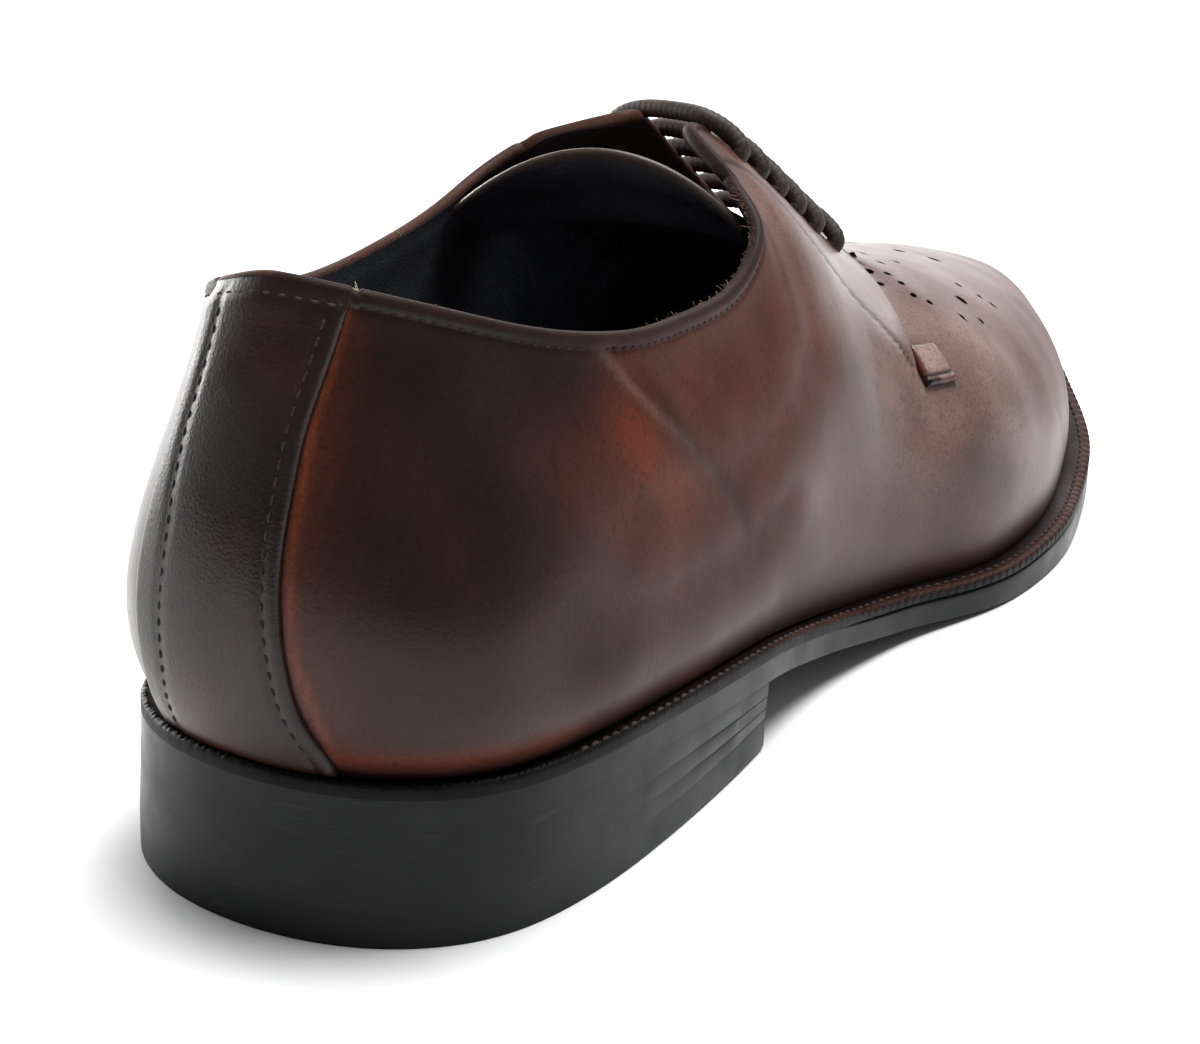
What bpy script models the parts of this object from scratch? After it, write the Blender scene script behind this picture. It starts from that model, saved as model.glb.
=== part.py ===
"""Right-foot derby shoe as separate closed solids, one object for each piece a maker joins.

Sizes are in millimetres and turned into metres when a mesh is made.
X runs from heel to toe, Y to the wearer's left (the inner side of a right shoe), Z up.
"""
import math

import bmesh
import bpy
import numpy as np

MM = 0.001
OUTER = -1
INNER = 1
SIDES = (OUTER, INNER)
SIDE_NAMES = {OUTER: "outer", INNER: "inner"}

# Driving sizes
LENGTH = 300.0
BALL_WIDTH = 100.0
HEEL_HEIGHT = 18.2
TOE_SPRING = 16.4
BREAST_ALONG = 89.0
INSTEP_HEIGHT = 93.2
GAP = 0.3

# Thickness of each piece
WALL = 2.0
WELT_THICK = 2.2
TOP_LIFT_THICK = 5.5
INSOLE_RISE = 2.0
STRIP_THICK = 1.1
TONGUE_THICK = 2.0
TACK_THICK = 1.2
FACING_STEP = 1.3
LACE_RADIUS = 1.55

# Rows of the foot from the heel back to the toe tip.  Edge columns: the sole edge as per cent of
# LENGTH and of BALL_WIDTH, on the outer and the inner side of the foot.
EDGE_COLUMNS = ("outer_along", "outer_wide", "inner_along", "inner_wide")
EDGE_ROWS = (
    (-0.37, 0.0, -0.37, 0.0),
    (0.57, 17.2, 0.90, 15.8),
    (4.0, 30.0, 4.3, 27.7),
    (9.8, 36.1, 9.9, 33.4),
    (18.3, 38.2, 18.3, 33.2),
    (26.0, 38.3, 26.0, 30.0),
    (31.7, 37.6, 31.7, 27.4),
    (35.0, 37.1, 35.0, 26.5),
    (38.0, 37.0, 38.0, 26.2),
    (41.0, 37.6, 41.0, 26.6),
    (44.3, 38.9, 45.0, 28.2),
    (49.0, 41.7, 50.0, 31.6),
    (56.0, 48.6, 57.5, 38.0),
    (61.7, 51.0, 63.3, 43.6),
    (67.5, 50.7, 70.0, 47.1),
    (74.5, 47.0, 77.0, 47.4),
    (81.5, 41.3, 83.5, 44.9),
    (88.5, 29.9, 89.8, 39.3),
    (94.2, 18.3, 95.1, 31.3),
    (98.1, 6.2, 98.7, 20.6),
    (99.93, -9.0, 99.93, 9.0),
)
HEEL_ROW = 0
FACING_TOP_ROW = 8
FRONT_ROW = 11
FAN_ROW = 12
THROAT_ROW = 13
TOE_ROW = len(EDGE_ROWS) - 1

# Top edge of the upper for the rows with an opening: along and out in millimetres, height as
# per cent of INSTEP_HEIGHT.
TOP_COLUMNS = ("outer_along", "outer_out", "outer_high", "inner_along", "inner_out", "inner_high")
TOP_ROWS = (
    (6.5, 0.0, 96.9, 6.5, 0.0, 96.9),
    (9.5, 11.0, 95.6, 9.0, 10.5, 94.1),
    (17.0, 17.8, 92.6, 18.0, 18.5, 89.8),
    (34.5, 27.0, 86.1, 35.0, 25.0, 84.8),
    (56.0, 31.3, 82.2, 57.0, 27.4, 81.2),
    (80.0, 31.0, 81.3, 81.0, 27.4, 83.2),
    (101.0, 27.2, 88.0, 100.0, 27.4, 87.4),
    (108.3, 17.2, 94.9, 112.5, 22.0, 94.2),
    (116.5, 6.4, 100.0, 121.0, 6.4, 99.8),
    (138.0, 6.8, 88.5, 140.0, 6.8, 88.3),
    (160.0, 7.6, 74.6, 161.0, 7.6, 74.6),
    (183.0, 8.6, 61.2, 183.0, 8.6, 61.4),
    (183.0, 8.6, 61.2, 183.0, 8.6, 61.4),
)

# Ridge of the closed vamp: where each later row reaches it, then its sideways bend and height.
RIDGE_ALONG = (184.5, 203.0, 221.0, 239.0, 251.0, 258.5, 262.5, 265.0)
RIDGE_COLUMNS = ("along", "sideways", "high")
RIDGE_LINE = (
    (182.0, 0.0, 63.1),
    (205.0, 0.8, 57.6),
    (222.0, 1.6, 53.8),
    (240.0, 3.0, 49.8),
    (252.0, 4.0, 46.9),
    (262.0, 5.0, 44.2),
    (268.0, 5.6, 42.2),
)

# Swell of the side wall for each row: foot_out pushes the lower wall out, foot_high is the share of
# the height where it acts, top_out pushes the upper wall out, top_drop is the share it hangs down.
SWELL_COLUMNS = ("foot_out", "foot_high", "top_out", "top_drop")
SWELL_ROWS = (
    (12.5, 0.30, 1.5, 0.38),
    (12.5, 0.30, 1.8, 0.38),
    (11.0, 0.31, 2.2, 0.37),
    (8.0, 0.33, 2.2, 0.36),
    (6.0, 0.35, 2.0, 0.34),
    (5.0, 0.37, 2.5, 0.32),
    (5.0, 0.41, 6.0, 0.26),
    (5.0, 0.45, 15.0, 0.16),
    (5.0, 0.50, 23.0, 0.10),
    (6.0, 0.55, 22.0, 0.08),
    (7.0, 0.60, 24.0, 0.07),
    (9.0, 0.66, 30.0, 0.05),
    (8.5, 0.66, 30.0, 0.02),
    (7.5, 0.66, 28.0, 0.0),
    (6.5, 0.65, 28.0, 0.0),
    (5.0, 0.63, 26.0, 0.0),
    (3.5, 0.62, 22.0, 0.0),
    (2.5, 0.62, 19.0, 0.0),
    (2.0, 0.62, 18.0, 0.0),
    (2.0, 0.62, 18.0, 0.0),
    (2.0, 0.62, 18.0, 0.0),
)

# Sole line: share of HEEL_HEIGHT and of TOE_SPRING under the outsole, and the edge with the welt.
SOLE_COLUMNS = ("along", "heel_share", "spring_share", "edge")
SOLE_LINE = (
    (0.0, 1.0, 0.0, 6.2),
    (45.0, 0.88, 0.0, 6.2),
    (90.0, 0.64, 0.0, 6.2),
    (115.0, 0.38, 0.0, 6.3),
    (140.0, 0.16, 0.0, 6.6),
    (165.0, 0.03, 0.0, 7.0),
    (180.0, 0.0, 0.0, 7.4),
    (218.0, 0.0, 0.0, 8.3),
    (240.0, 0.0, 0.105, 8.8),
    (260.0, 0.0, 0.32, 9.2),
    (280.0, 0.0, 0.615, 9.6),
    (302.0, 0.0, 1.03, 9.6),
)

# Welt left showing around the foot of the upper
SHOW_COLUMNS = ("row", "width")
WELT_SHOW = ((0, 2.6), (4, 2.6), (8, 3.2), (13, 4.4), (16, 5.0), (20, 5.2))

# Heel block against the sole edge: a little proud at the back, drawn in at the breast
HEEL_COLUMNS = ("row", "inset")
HEEL_INSET = ((0, -0.5), (3, -0.4), (6.2, 0.5))

# Mesh density
ROW_STEPS = (2, 2, 2, 2, 2, 3, 3, 3, 2, 2, 2, 2, 2, 2, 2, 2, 3, 3, 3, 2)
WALL_STEPS = 12
EDGE_GAP = 0.02
HEEL_STEPS = 12
PLATE_STEPS = 4
NUDGE = 0.01
HALVINGS = 40

# Back strip, tongue, tabs and lace
STRIP_COLUMNS = ("share", "outer_row", "inner_row")
STRIP_STEPS = 4
STRIP_EDGES = (
    (0.015, 0.78, 1.16),
    (0.2, 0.52, 1.06),
    (0.45, 0.43, 1.10),
    (0.7, 0.52, 1.08),
    (0.985, 0.92, 1.0),
)
TONGUE_TOP_ROWS = {OUTER: 6.65, INNER: 5.7}
TONGUE_COLUMNS = ("part", "share", "crown")
TONGUE_SIDES = (
    (0.0, 1.0, 0.20),
    (0.12, 0.86, 0.14),
    (0.3, 0.69, 0.06),
    (0.55, 0.70, 0.05),
    (0.8, 0.75, 0.05),
    (1.0, 0.80, 0.05),
)
TONGUE_STEPS = 12
TONGUE_GAP = 0.75
TONGUE_TIP_ROW = 12.5
TONGUE_TIP_DROP = 0.9
TONGUE_BRIDGE = 10
TONGUE_THROUGH = (-0.45, 0.0, -0.89)
TACK_SHARES = (0.47, 0.59)
TACK_ROWS = (10.95, 11.45)
TACK_STEPS = (4, 3)
FACING_FADE = (0.42, 0.56)
CORNER_LEAN = 0.3
EYELET_ROWS = (8.35, 8.75, 9.15, 9.53, 9.92, 10.3)
EYELET_SHARE = 0.9
LACE_LIFT = 1.1
LACE_RISE = (4.3, 6.2)
LACE_ARCH = 0.6
LACE_SEGMENTS = 8
BAR_STEPS = 7

# Sole edge: how far its top, middle and low corner stand in, which rounds it
OUTSOLE_EDGE = (0.4, 0.0, 0.4)


def column(table, names, name):
    """One named column of a table."""
    return [row[names.index(name)] for row in table]


def monotone_curve(knots, values, level_start=False):
    """A smooth function through the knots that never overshoots them, level at its start when asked."""
    knots = np.asarray(knots, float)
    values = np.asarray(values, float)
    steps = np.diff(knots)
    slopes = np.diff(values) / steps
    tangents = np.concatenate((slopes[:1], np.zeros(len(knots) - 2), slopes[-1:]))
    if level_start:
        tangents[0] = 0.0
    for i in range(1, len(knots) - 1):
        if slopes[i - 1] * slopes[i] > 0:
            before = 2 * steps[i] + steps[i - 1]
            after = steps[i] + 2 * steps[i - 1]
            tangents[i] = (before + after) / (before / slopes[i - 1] + after / slopes[i])

    def value(at):
        i = min(max(int(np.searchsorted(knots, at, side="right")) - 1, 0), len(steps) - 1)
        t = min(max((at - knots[i]) / steps[i], 0.0), 1.0)
        rise = values[i] * (1 + 2 * t) * (1 - t) ** 2 + values[i + 1] * t * t * (3 - 2 * t)
        lean = tangents[i] * t * (1 - t) ** 2 + tangents[i + 1] * t * t * (t - 1)
        return rise + lean * steps[i]

    return value


def closed_curve(points):
    """A closed cubic spline: place and direction at a length along it, and the lengths of its knots."""
    points = np.asarray(points, float)
    count = len(points)
    steps = np.linalg.norm(np.roll(points, -1, axis=0) - points, axis=1)
    slopes = (np.roll(points, -1, axis=0) - points) / steps[:, None]
    system = np.zeros((count, count))
    for i in range(count):
        system[i, i - 1] = steps[i - 1]
        system[i, i] = 2 * (steps[i - 1] + steps[i])
        system[i, (i + 1) % count] = steps[i]
    bends = np.linalg.solve(system, 6 * (slopes - np.roll(slopes, 1, axis=0)))
    lengths = np.concatenate(([0.0], np.cumsum(steps)))

    def place(at):
        at = at % lengths[-1]
        i = min(int(np.searchsorted(lengths, at, side="right")) - 1, count - 1)
        j = (i + 1) % count
        t = at - lengths[i]
        lean = slopes[i] - steps[i] * (2 * bends[i] + bends[j]) / 6
        turn = (bends[j] - bends[i]) / steps[i]
        point = points[i] + t * lean + t * t * bends[i] / 2 + t ** 3 * turn / 6
        direction = lean + t * bends[i] + t * t * turn / 2
        return point, direction / np.linalg.norm(direction)

    return place, lengths


def edge_loop():
    """Sole edge points: heel back, outer side, toe tip, then the inner side back to the heel."""
    runs = {}
    for side, name in SIDE_NAMES.items():
        along = np.array(column(EDGE_ROWS, EDGE_COLUMNS, name + "_along")) * LENGTH / 100
        wide = np.array(column(EDGE_ROWS, EDGE_COLUMNS, name + "_wide")) * BALL_WIDTH / 100
        runs[side] = list(zip(along, side * wide))
    return runs[OUTER] + runs[INNER][-2:0:-1]


EDGE_PLACE, EDGE_LENGTHS = closed_curve(edge_loop())
ROWS = range(len(EDGE_ROWS))
SWELL = {name: monotone_curve(ROWS, column(SWELL_ROWS, SWELL_COLUMNS, name)) for name in SWELL_COLUMNS}
SOLE_ALONG = column(SOLE_LINE, SOLE_COLUMNS, "along")
SOLE = {
    name: monotone_curve(SOLE_ALONG, column(SOLE_LINE, SOLE_COLUMNS, name))
    for name in SOLE_COLUMNS[1:]
}
SHOW = monotone_curve(column(WELT_SHOW, SHOW_COLUMNS, "row"), column(WELT_SHOW, SHOW_COLUMNS, "width"))
RIDGE_X = column(RIDGE_LINE, RIDGE_COLUMNS, "along")
RIDGE_SIDEWAYS = monotone_curve(RIDGE_X, column(RIDGE_LINE, RIDGE_COLUMNS, "sideways"))
RIDGE_HIGH = monotone_curve(RIDGE_X, column(RIDGE_LINE, RIDGE_COLUMNS, "high"))
RIDGE_REACH = monotone_curve(range(THROAT_ROW, TOE_ROW + 1), RIDGE_ALONG)


def ridge(along):
    """Point of the vamp's ridge."""
    return np.array((along, RIDGE_SIDEWAYS(along), RIDGE_HIGH(along) * INSTEP_HEIGHT / 100))


def ridge_slope(along):
    """Rise of the ridge for each millimetre along the foot."""
    return (RIDGE_HIGH(along + 1) - RIDGE_HIGH(along - 1)) / 2 * INSTEP_HEIGHT / 100


def top_curves():
    """Curves of the open top edge for each side, ending at the ridge."""
    start = ridge(RIDGE_ALONG[0])
    curves = {}
    for side, name in SIDE_NAMES.items():
        along = column(TOP_ROWS, TOP_COLUMNS, name + "_along") + [start[0]]
        out = [side * value for value in column(TOP_ROWS, TOP_COLUMNS, name + "_out")] + [start[1]]
        high = [value * INSTEP_HEIGHT / 100 for value in column(TOP_ROWS, TOP_COLUMNS, name + "_high")]
        rows = range(THROAT_ROW + 1)
        curves[side] = [
            monotone_curve(rows, along, level_start=True),
            monotone_curve(rows, out),
            monotone_curve(rows, high + [start[2]], level_start=True),
        ]
    return curves


TOP = top_curves()


def smooth_step(start, end, at):
    """Eased rise from 0 at start to 1 at end."""
    t = min(max((at - start) / (end - start), 0.0), 1.0)
    return t * t * (3 - 2 * t)


def sole_low(along):
    """Underside of the outsole above the floor."""
    return SOLE["heel_share"](along) * HEEL_HEIGHT + SOLE["spring_share"](along) * TOE_SPRING


def sole_top(along):
    """Top of the welt above the floor."""
    return sole_low(along) + SOLE["edge"](along)


def edge_point(row, side, inset=0.0):
    """Sole edge at a row, moved inwards, with its outward normal."""
    count = len(EDGE_LENGTHS) - 1
    index = row if side == OUTER else count - row
    point, direction = EDGE_PLACE(np.interp(index, range(count + 1), EDGE_LENGTHS))
    normal = np.array((direction[1], -direction[0]))
    return point - inset * normal, normal


def top_point(row, side):
    """Top edge of the upper: collar and facing behind the throat row, the ridge after it."""
    if row >= THROAT_ROW:
        return ridge(RIDGE_REACH(row))
    return np.array([curve(row) for curve in TOP[side]])


def profile(row, side):
    """Four control points of the wall at a row."""
    foot_plan, normal = edge_point(row, side, SHOW(row))
    foot = np.array((*foot_plan, sole_top(foot_plan[0]) + GAP))
    top = top_point(row, side)
    height = top[2] - foot[2]
    across = foot[:2] - top[:2]
    across = across / np.linalg.norm(across)
    turn = smooth_step(FACING_TOP_ROW - 2, FRONT_ROW, row)
    out = normal * (1 - turn) + across * turn
    out = out / np.linalg.norm(out)
    reach = SWELL["top_out"](row)
    follow = smooth_step(FRONT_ROW, THROAT_ROW, row) * ridge_slope(top[0]) * out[0] * reach
    low = foot + np.array((*(normal * SWELL["foot_out"](row)), height * SWELL["foot_high"](row)))
    high = top + np.array((*(out * reach), follow - height * SWELL["top_drop"](row)))
    return foot, low, high, top


def bezier(points, share):
    """Point of a cubic curve."""
    a, b, c, d = points
    rest = 1 - share
    return a * rest ** 3 + b * 3 * share * rest ** 2 + c * 3 * share ** 2 * rest + d * share ** 3


def edge_lean(row):
    """Sideways lean of the vamp's back edge, from the facing's corner to the ridge."""
    return CORNER_LEAN * (1 - smooth_step(FAN_ROW, THROAT_ROW, row))


def wall_row(row, side, shares):
    """Points and outward normals of the wall's base surface at one row."""
    middle = profile(row, side)
    before = profile(max(row - NUDGE, HEEL_ROW), side)
    after = profile(min(row + NUDGE, TOE_ROW), side)
    points = []
    normals = []
    for share in shares:
        point = bezier(middle, share)
        along = bezier(after, share) - bezier(before, share)
        low = max(share - NUDGE, 0.0)
        high = min(share + NUDGE, 1.0)
        normal = np.cross(along, bezier(middle, high) - bezier(middle, low)) * -side
        if row in (HEEL_ROW, TOE_ROW):
            normal[1] = 0.0
        if row > FRONT_ROW and share == 1:
            normal = np.array((-ridge_slope(point[0]), side * edge_lean(row), 1.0))
        points.append(point)
        normals.append(normal / np.linalg.norm(normal))
    return np.array(points), np.array(normals)


def facing_rise(row, share):
    """Extra thickness of the facing, which ends in a step at its front edge."""
    if row > FRONT_ROW:
        return 0.0
    return FACING_STEP * smooth_step(FACING_TOP_ROW, FRONT_ROW, row) * smooth_step(*FACING_FADE, share)


def outer_row(row, side, shares, lift=0.0):
    """Outside of the upper at one row, raised by lift."""
    points, normals = wall_row(row, side, shares)
    rises = np.array([facing_rise(row, share) for share in shares])
    return points + normals * (rises + lift)[:, None]


def inner_row(row, side, shares, sink=0.0):
    """Inside of the upper at one row, moved further in by sink."""
    points, normals = wall_row(row, side, shares)
    return points - normals * (WALL + sink)


def station_rows():
    """Rows where the upper is cut, with a close pair at the facing's front edge."""
    rows = []
    for start, steps in enumerate(ROW_STEPS):
        rows += [start + i / steps for i in range(steps)]
    rows.append(float(TOE_ROW))
    place = rows.index(float(FRONT_ROW))
    rows[place:place + 1] = [FRONT_ROW - EDGE_GAP, FRONT_ROW + EDGE_GAP]
    return rows


class Solid:
    """Collects corners and faces of one closed piece."""

    def __init__(self):
        self.points = []
        self.faces = []

    def add(self, point):
        self.points.append(tuple(float(value) for value in point))
        return len(self.points) - 1

    def face(self, *corners):
        kept = []
        for corner in corners:
            if corner not in kept:
                kept.append(corner)
        if len(kept) > 2:
            self.faces.append(kept)

    def strip(self, first, second, closed=False):
        """Faces between two runs of corners."""
        count = len(first)
        for i in range(count if closed else count - 1):
            j = (i + 1) % count
            self.face(first[i], first[j], second[j], second[i])

    def grid(self, runs, closed=False):
        """Faces between neighbouring runs."""
        for first, second in zip(runs, runs[1:]):
            self.strip(first, second, closed)


PIECES = {}


def keep(name, solid):
    PIECES[name] = solid


def build_upper():
    """One hollow wall: an outside and an inside sheet joined at the foot and at the open rim."""
    solid = Solid()
    rows = station_rows()
    shares = [j / WALL_STEPS for j in range(WALL_STEPS + 1)]
    sheets = []
    for make in (outer_row, inner_row):
        sides = {}
        for side in SIDES:
            runs = []
            for i, row in enumerate(rows):
                if side == INNER and row in (HEEL_ROW, TOE_ROW):
                    runs.append(sides[OUTER][i])
                    continue
                points = make(row, side, shares)
                foot = edge_point(row, side, SHOW(row) + (WALL if make is inner_row else 0.0))[0]
                points[0] = (*foot, sole_top(foot[0]) + GAP)
                run = [solid.add(point) for point in points]
                if FRONT_ROW + EDGE_GAP < row <= FAN_ROW:
                    solid.points.pop()
                    run[-1] = runs[-1][-1]
                if side == INNER and row >= THROAT_ROW:
                    ridge_corner = sides[OUTER][i][-1]
                    mean = (np.array(solid.points[run[-1]]) + np.array(solid.points[ridge_corner])) / 2
                    solid.points[ridge_corner] = tuple(mean)
                    solid.points.pop()
                    run[-1] = ridge_corner
                runs.append(run)
            sides[side] = runs
            solid.grid(runs)
        sheets.append(sides)
    outside, inside = sheets
    last_open = rows.index(float(THROAT_ROW)) + 1
    for side in SIDES:
        solid.strip([run[0] for run in outside[side]], [run[0] for run in inside[side]])
        rims = [[run[-1] for run in sheet[side][:last_open]] for sheet in sheets]
        solid.strip(*rims)
    keep("upper", solid)


def add_sheet(name, upper_runs, lower_runs):
    """A closed sheet between two grids of points with the same shape."""
    solid = Solid()
    top = [[solid.add(point) for point in run] for run in upper_runs]
    bottom = [[solid.add(point) for point in run] for run in lower_runs]
    solid.grid(top)
    solid.grid(bottom)
    solid.strip(top[0], bottom[0])
    solid.strip(top[-1], bottom[-1])
    solid.strip([run[0] for run in top], [run[0] for run in bottom])
    solid.strip([run[-1] for run in top], [run[-1] for run in bottom])
    keep(name, solid)


def build_back_strip():
    """Strip over the heel, cut from the upper's own surface."""
    ends = {}
    edge_shares = column(STRIP_EDGES, STRIP_COLUMNS, "share")
    for side, name in SIDE_NAMES.items():
        ends[side] = monotone_curve(edge_shares, column(STRIP_EDGES, STRIP_COLUMNS, name + "_row"))
    shares = np.linspace(edge_shares[0], edge_shares[-1], WALL_STEPS + 1)
    parts = [(k / STRIP_STEPS, OUTER) for k in range(STRIP_STEPS, 0, -1)]
    parts += [(k / STRIP_STEPS, INNER) for k in range(STRIP_STEPS + 1)]
    sheets = []
    for lift in (GAP + STRIP_THICK, GAP):
        runs = []
        for part, side in parts:
            runs.append([outer_row(part * ends[side](share), side, (share,), lift)[0] for share in shares])
        sheets.append(runs)
    add_sheet("back_strip", *sheets)


def facet_row(row, side, shares, sink):
    """Inside of the upper at any row, along the flat facets between its two neighbouring cuts."""
    rows = station_rows()
    after = int(np.clip(np.searchsorted(rows, row), 1, len(rows) - 1))
    part = (row - rows[after - 1]) / (rows[after] - rows[after - 1])
    first = inner_row(rows[after - 1], side, shares, sink)
    second = inner_row(rows[after], side, shares, sink)
    return first * (1 - part) + second * part


def tongue_run(rows, sink, share, crown):
    """Tongue across the foot, from the inside of one quarter to the other with a crown between."""
    start = facet_row(rows[OUTER], OUTER, (share,), sink)[0]
    end = facet_row(rows[INNER], INNER, (share,), sink)[0]
    run = []
    for k in range(TONGUE_BRIDGE + 1):
        t = k / TONGUE_BRIDGE
        point = start * (1 - t) + end * t
        point[2] += crown * np.linalg.norm(end - start) * 4 * t * (1 - t)
        run.append(point)
    return run


def build_tongue():
    """Sheet that falls from its arched top edge, below the facings, to its tip under the vamp."""
    parts = column(TONGUE_SIDES, TONGUE_COLUMNS, "part")
    side_share = monotone_curve(parts, column(TONGUE_SIDES, TONGUE_COLUMNS, "share"))
    crown = monotone_curve(parts, column(TONGUE_SIDES, TONGUE_COLUMNS, "crown"))
    upper_runs = []
    for k in range(TONGUE_STEPS + 1):
        part = k / TONGUE_STEPS
        end = FRONT_ROW - EDGE_GAP
        rows = {side: top * (1 - part) + end * part for side, top in TONGUE_TOP_ROWS.items()}
        upper_runs.append(tongue_run(rows, TONGUE_GAP, side_share(part), crown(part)))
    tip = {side: TONGUE_TIP_ROW for side in SIDES}
    upper_runs.append(tongue_run(tip, TONGUE_GAP + TONGUE_TIP_DROP, side_share(1.0), crown(1.0)))
    through = TONGUE_THICK * np.array(TONGUE_THROUGH)
    add_sheet("tongue", upper_runs, [[point + through for point in run] for run in upper_runs])


def build_tacks():
    """Leather tabs at the lower ends of the facings."""
    share_steps, row_steps = TACK_STEPS
    shares = np.linspace(*TACK_SHARES, share_steps + 1)
    rows = np.linspace(*TACK_ROWS, row_steps + 1)
    for side, name in SIDE_NAMES.items():
        lift = GAP + FACING_STEP
        outside = []
        inside = []
        for row in rows:
            points, normals = wall_row(row, side, shares)
            outside.append(points + normals * (lift + TACK_THICK))
            inside.append(points + normals * lift)
        add_sheet("tack_" + name, outside, inside)


def side_rows(stop_along=None):
    """Row pairs for plates across the sole, up to a place along the foot when one is given."""
    rows = station_rows()
    if stop_along is None:
        return [(row, row) for row in rows]
    ends = [row_at(stop_along, side) for side in SIDES]
    return [tuple(end * k / HEEL_STEPS for end in ends) for k in range(HEEL_STEPS + 1)]


def row_at(along, side):
    """Row where the sole edge on one side reaches a place along the foot."""
    low, high = 0.0, float(THROAT_ROW)
    for _ in range(HALVINGS):
        middle = (low + high) / 2
        if edge_point(middle, side)[0][0] < along:
            low = middle
        else:
            high = middle
    return low


def plate(name, pairs, levels):
    """A solid plate of cross lines.  Each level gives an inset and a height function; the first and
    the last level are filled, those between only shape the edge."""
    solid = Solid()
    rims = []
    last = len(levels) - 1
    for number, (inset, height) in enumerate(levels):
        filled = number in (0, last)
        steps = PLATE_STEPS if filled else 1
        lines = []
        for outer_row_at, inner_row_at in pairs:
            a = edge_point(outer_row_at, OUTER, inset_at(inset, outer_row_at))[0]
            b = edge_point(inner_row_at, INNER, inset_at(inset, inner_row_at))[0]
            plan = [a + (b - a) * k / steps for k in range(steps + 1)]
            if outer_row_at in (HEEL_ROW, TOE_ROW):
                plan = [a]
            lines.append([solid.add((*point, height(point[0]))) for point in plan])
        outer_rim = [line[0] for line in lines]
        inner_rim = [line[-1] for line in lines[::-1] if len(line) > 1]
        cut_front = lines[-1][1:-1]
        rims.append(outer_rim + cut_front + inner_rim)
        if filled:
            wide_lines = [line if len(line) > 1 else line * (steps + 1) for line in lines]
            solid.grid(wide_lines)
    solid.grid(rims, closed=True)
    keep(name, solid)


def inset_at(inset, row):
    """An inset given as a number or as a function of the row."""
    return inset(row) if callable(inset) else inset


def build_outsole():
    def top(along):
        return sole_top(along) - WELT_THICK - GAP

    def middle(along):
        return (sole_low(along) + top(along)) / 2

    plate("outsole", side_rows(), tuple(zip(OUTSOLE_EDGE, (top, middle, sole_low))))


def build_insole():
    def inset(row):
        return SHOW(row) + WALL + 2 * GAP

    def low(along):
        return sole_top(along) - WELT_THICK

    def high(along):
        return sole_top(along) + INSOLE_RISE

    plate("insole", side_rows(), ((inset, high), (inset, low)))


def build_welt():
    """Flat ring under the foot of the upper."""
    solid = Solid()
    rows = station_rows()
    places = [(row, OUTER) for row in rows] + [(row, INNER) for row in rows[-2:0:-1]]
    corners = []
    for inner_edge, drop in ((False, 0.0), (False, WELT_THICK), (True, WELT_THICK), (True, 0.0)):
        run = []
        for row, side in places:
            point = edge_point(row, side, SHOW(row) + WALL + GAP if inner_edge else 0.0)[0]
            run.append(solid.add((*point, sole_top(point[0]) - drop)))
        corners.append(run)
    solid.grid(corners + corners[:1], closed=True)
    keep("welt", solid)


def build_heel():
    """Stack under the outsole and the top lift that meets the floor."""
    def under(along):
        return sole_low(along) - GAP

    def stack_low(along):
        return TOP_LIFT_THICK + GAP

    def lift_top(along):
        return TOP_LIFT_THICK

    def floor(along):
        return 0.0

    pairs = side_rows(BREAST_ALONG)
    rows = column(HEEL_INSET, HEEL_COLUMNS, "row")
    inset = monotone_curve(rows, column(HEEL_INSET, HEEL_COLUMNS, "inset"))
    plate("heel_stack", pairs, ((inset, under), (inset, stack_low)))
    plate("top_lift", pairs, ((inset, lift_top), (inset, floor)))


def lace_path():
    """Centre line of the lace: bars over the throat joined by short runs along the facings."""
    path = []
    rises = np.linspace(*LACE_RISE, len(EYELET_ROWS))
    for number, row in enumerate(EYELET_ROWS):
        ends = [outer_row(row, side, (EYELET_SHARE,), LACE_LIFT + LACE_RADIUS)[0] for side in SIDES]
        start, end = ends if number % 2 == 0 else ends[::-1]
        for k in range(BAR_STEPS + 1):
            t = k / BAR_STEPS
            point = start * (1 - t) + end * t
            point[2] += rises[number] * (4 * t * (1 - t)) ** LACE_ARCH
            path.append(point)
    return np.array(path)


def build_laces():
    """Round cord swept along the lace path."""
    solid = Solid()
    path = lace_path()
    rings = []
    for i, point in enumerate(path):
        direction = path[min(i + 1, len(path) - 1)] - path[max(i - 1, 0)]
        direction = direction / np.linalg.norm(direction)
        level = np.cross(direction, (0.0, 0.0, 1.0))
        level = level / np.linalg.norm(level)
        upright = np.cross(level, direction)
        ring = []
        for k in range(LACE_SEGMENTS):
            angle = 2 * math.pi * k / LACE_SEGMENTS
            spoke = level * math.cos(angle) + upright * math.sin(angle)
            ring.append(solid.add(point + LACE_RADIUS * spoke))
        rings.append(ring)
    solid.grid(rings, closed=True)
    solid.face(*rings[0])
    solid.face(*rings[-1])
    keep("laces", solid)


# Colour and roughness of each piece
FINISHES = {
    "upper": ((0.11, 0.035, 0.014), 0.35),
    "back_strip": ((0.03, 0.016, 0.011), 0.3),
    "tongue": ((0.07, 0.028, 0.014), 0.4),
    "insole": ((0.02, 0.018, 0.017), 0.8),
    "welt": ((0.035, 0.022, 0.016), 0.5),
    "outsole": ((0.012, 0.011, 0.011), 0.4),
    "heel_stack": ((0.012, 0.011, 0.011), 0.4),
    "top_lift": ((0.02, 0.02, 0.02), 0.6),
    "tack_outer": ((0.10, 0.035, 0.014), 0.35),
    "tack_inner": ((0.10, 0.035, 0.014), 0.35),
    "laces": ((0.035, 0.024, 0.018), 0.5),
}


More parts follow.
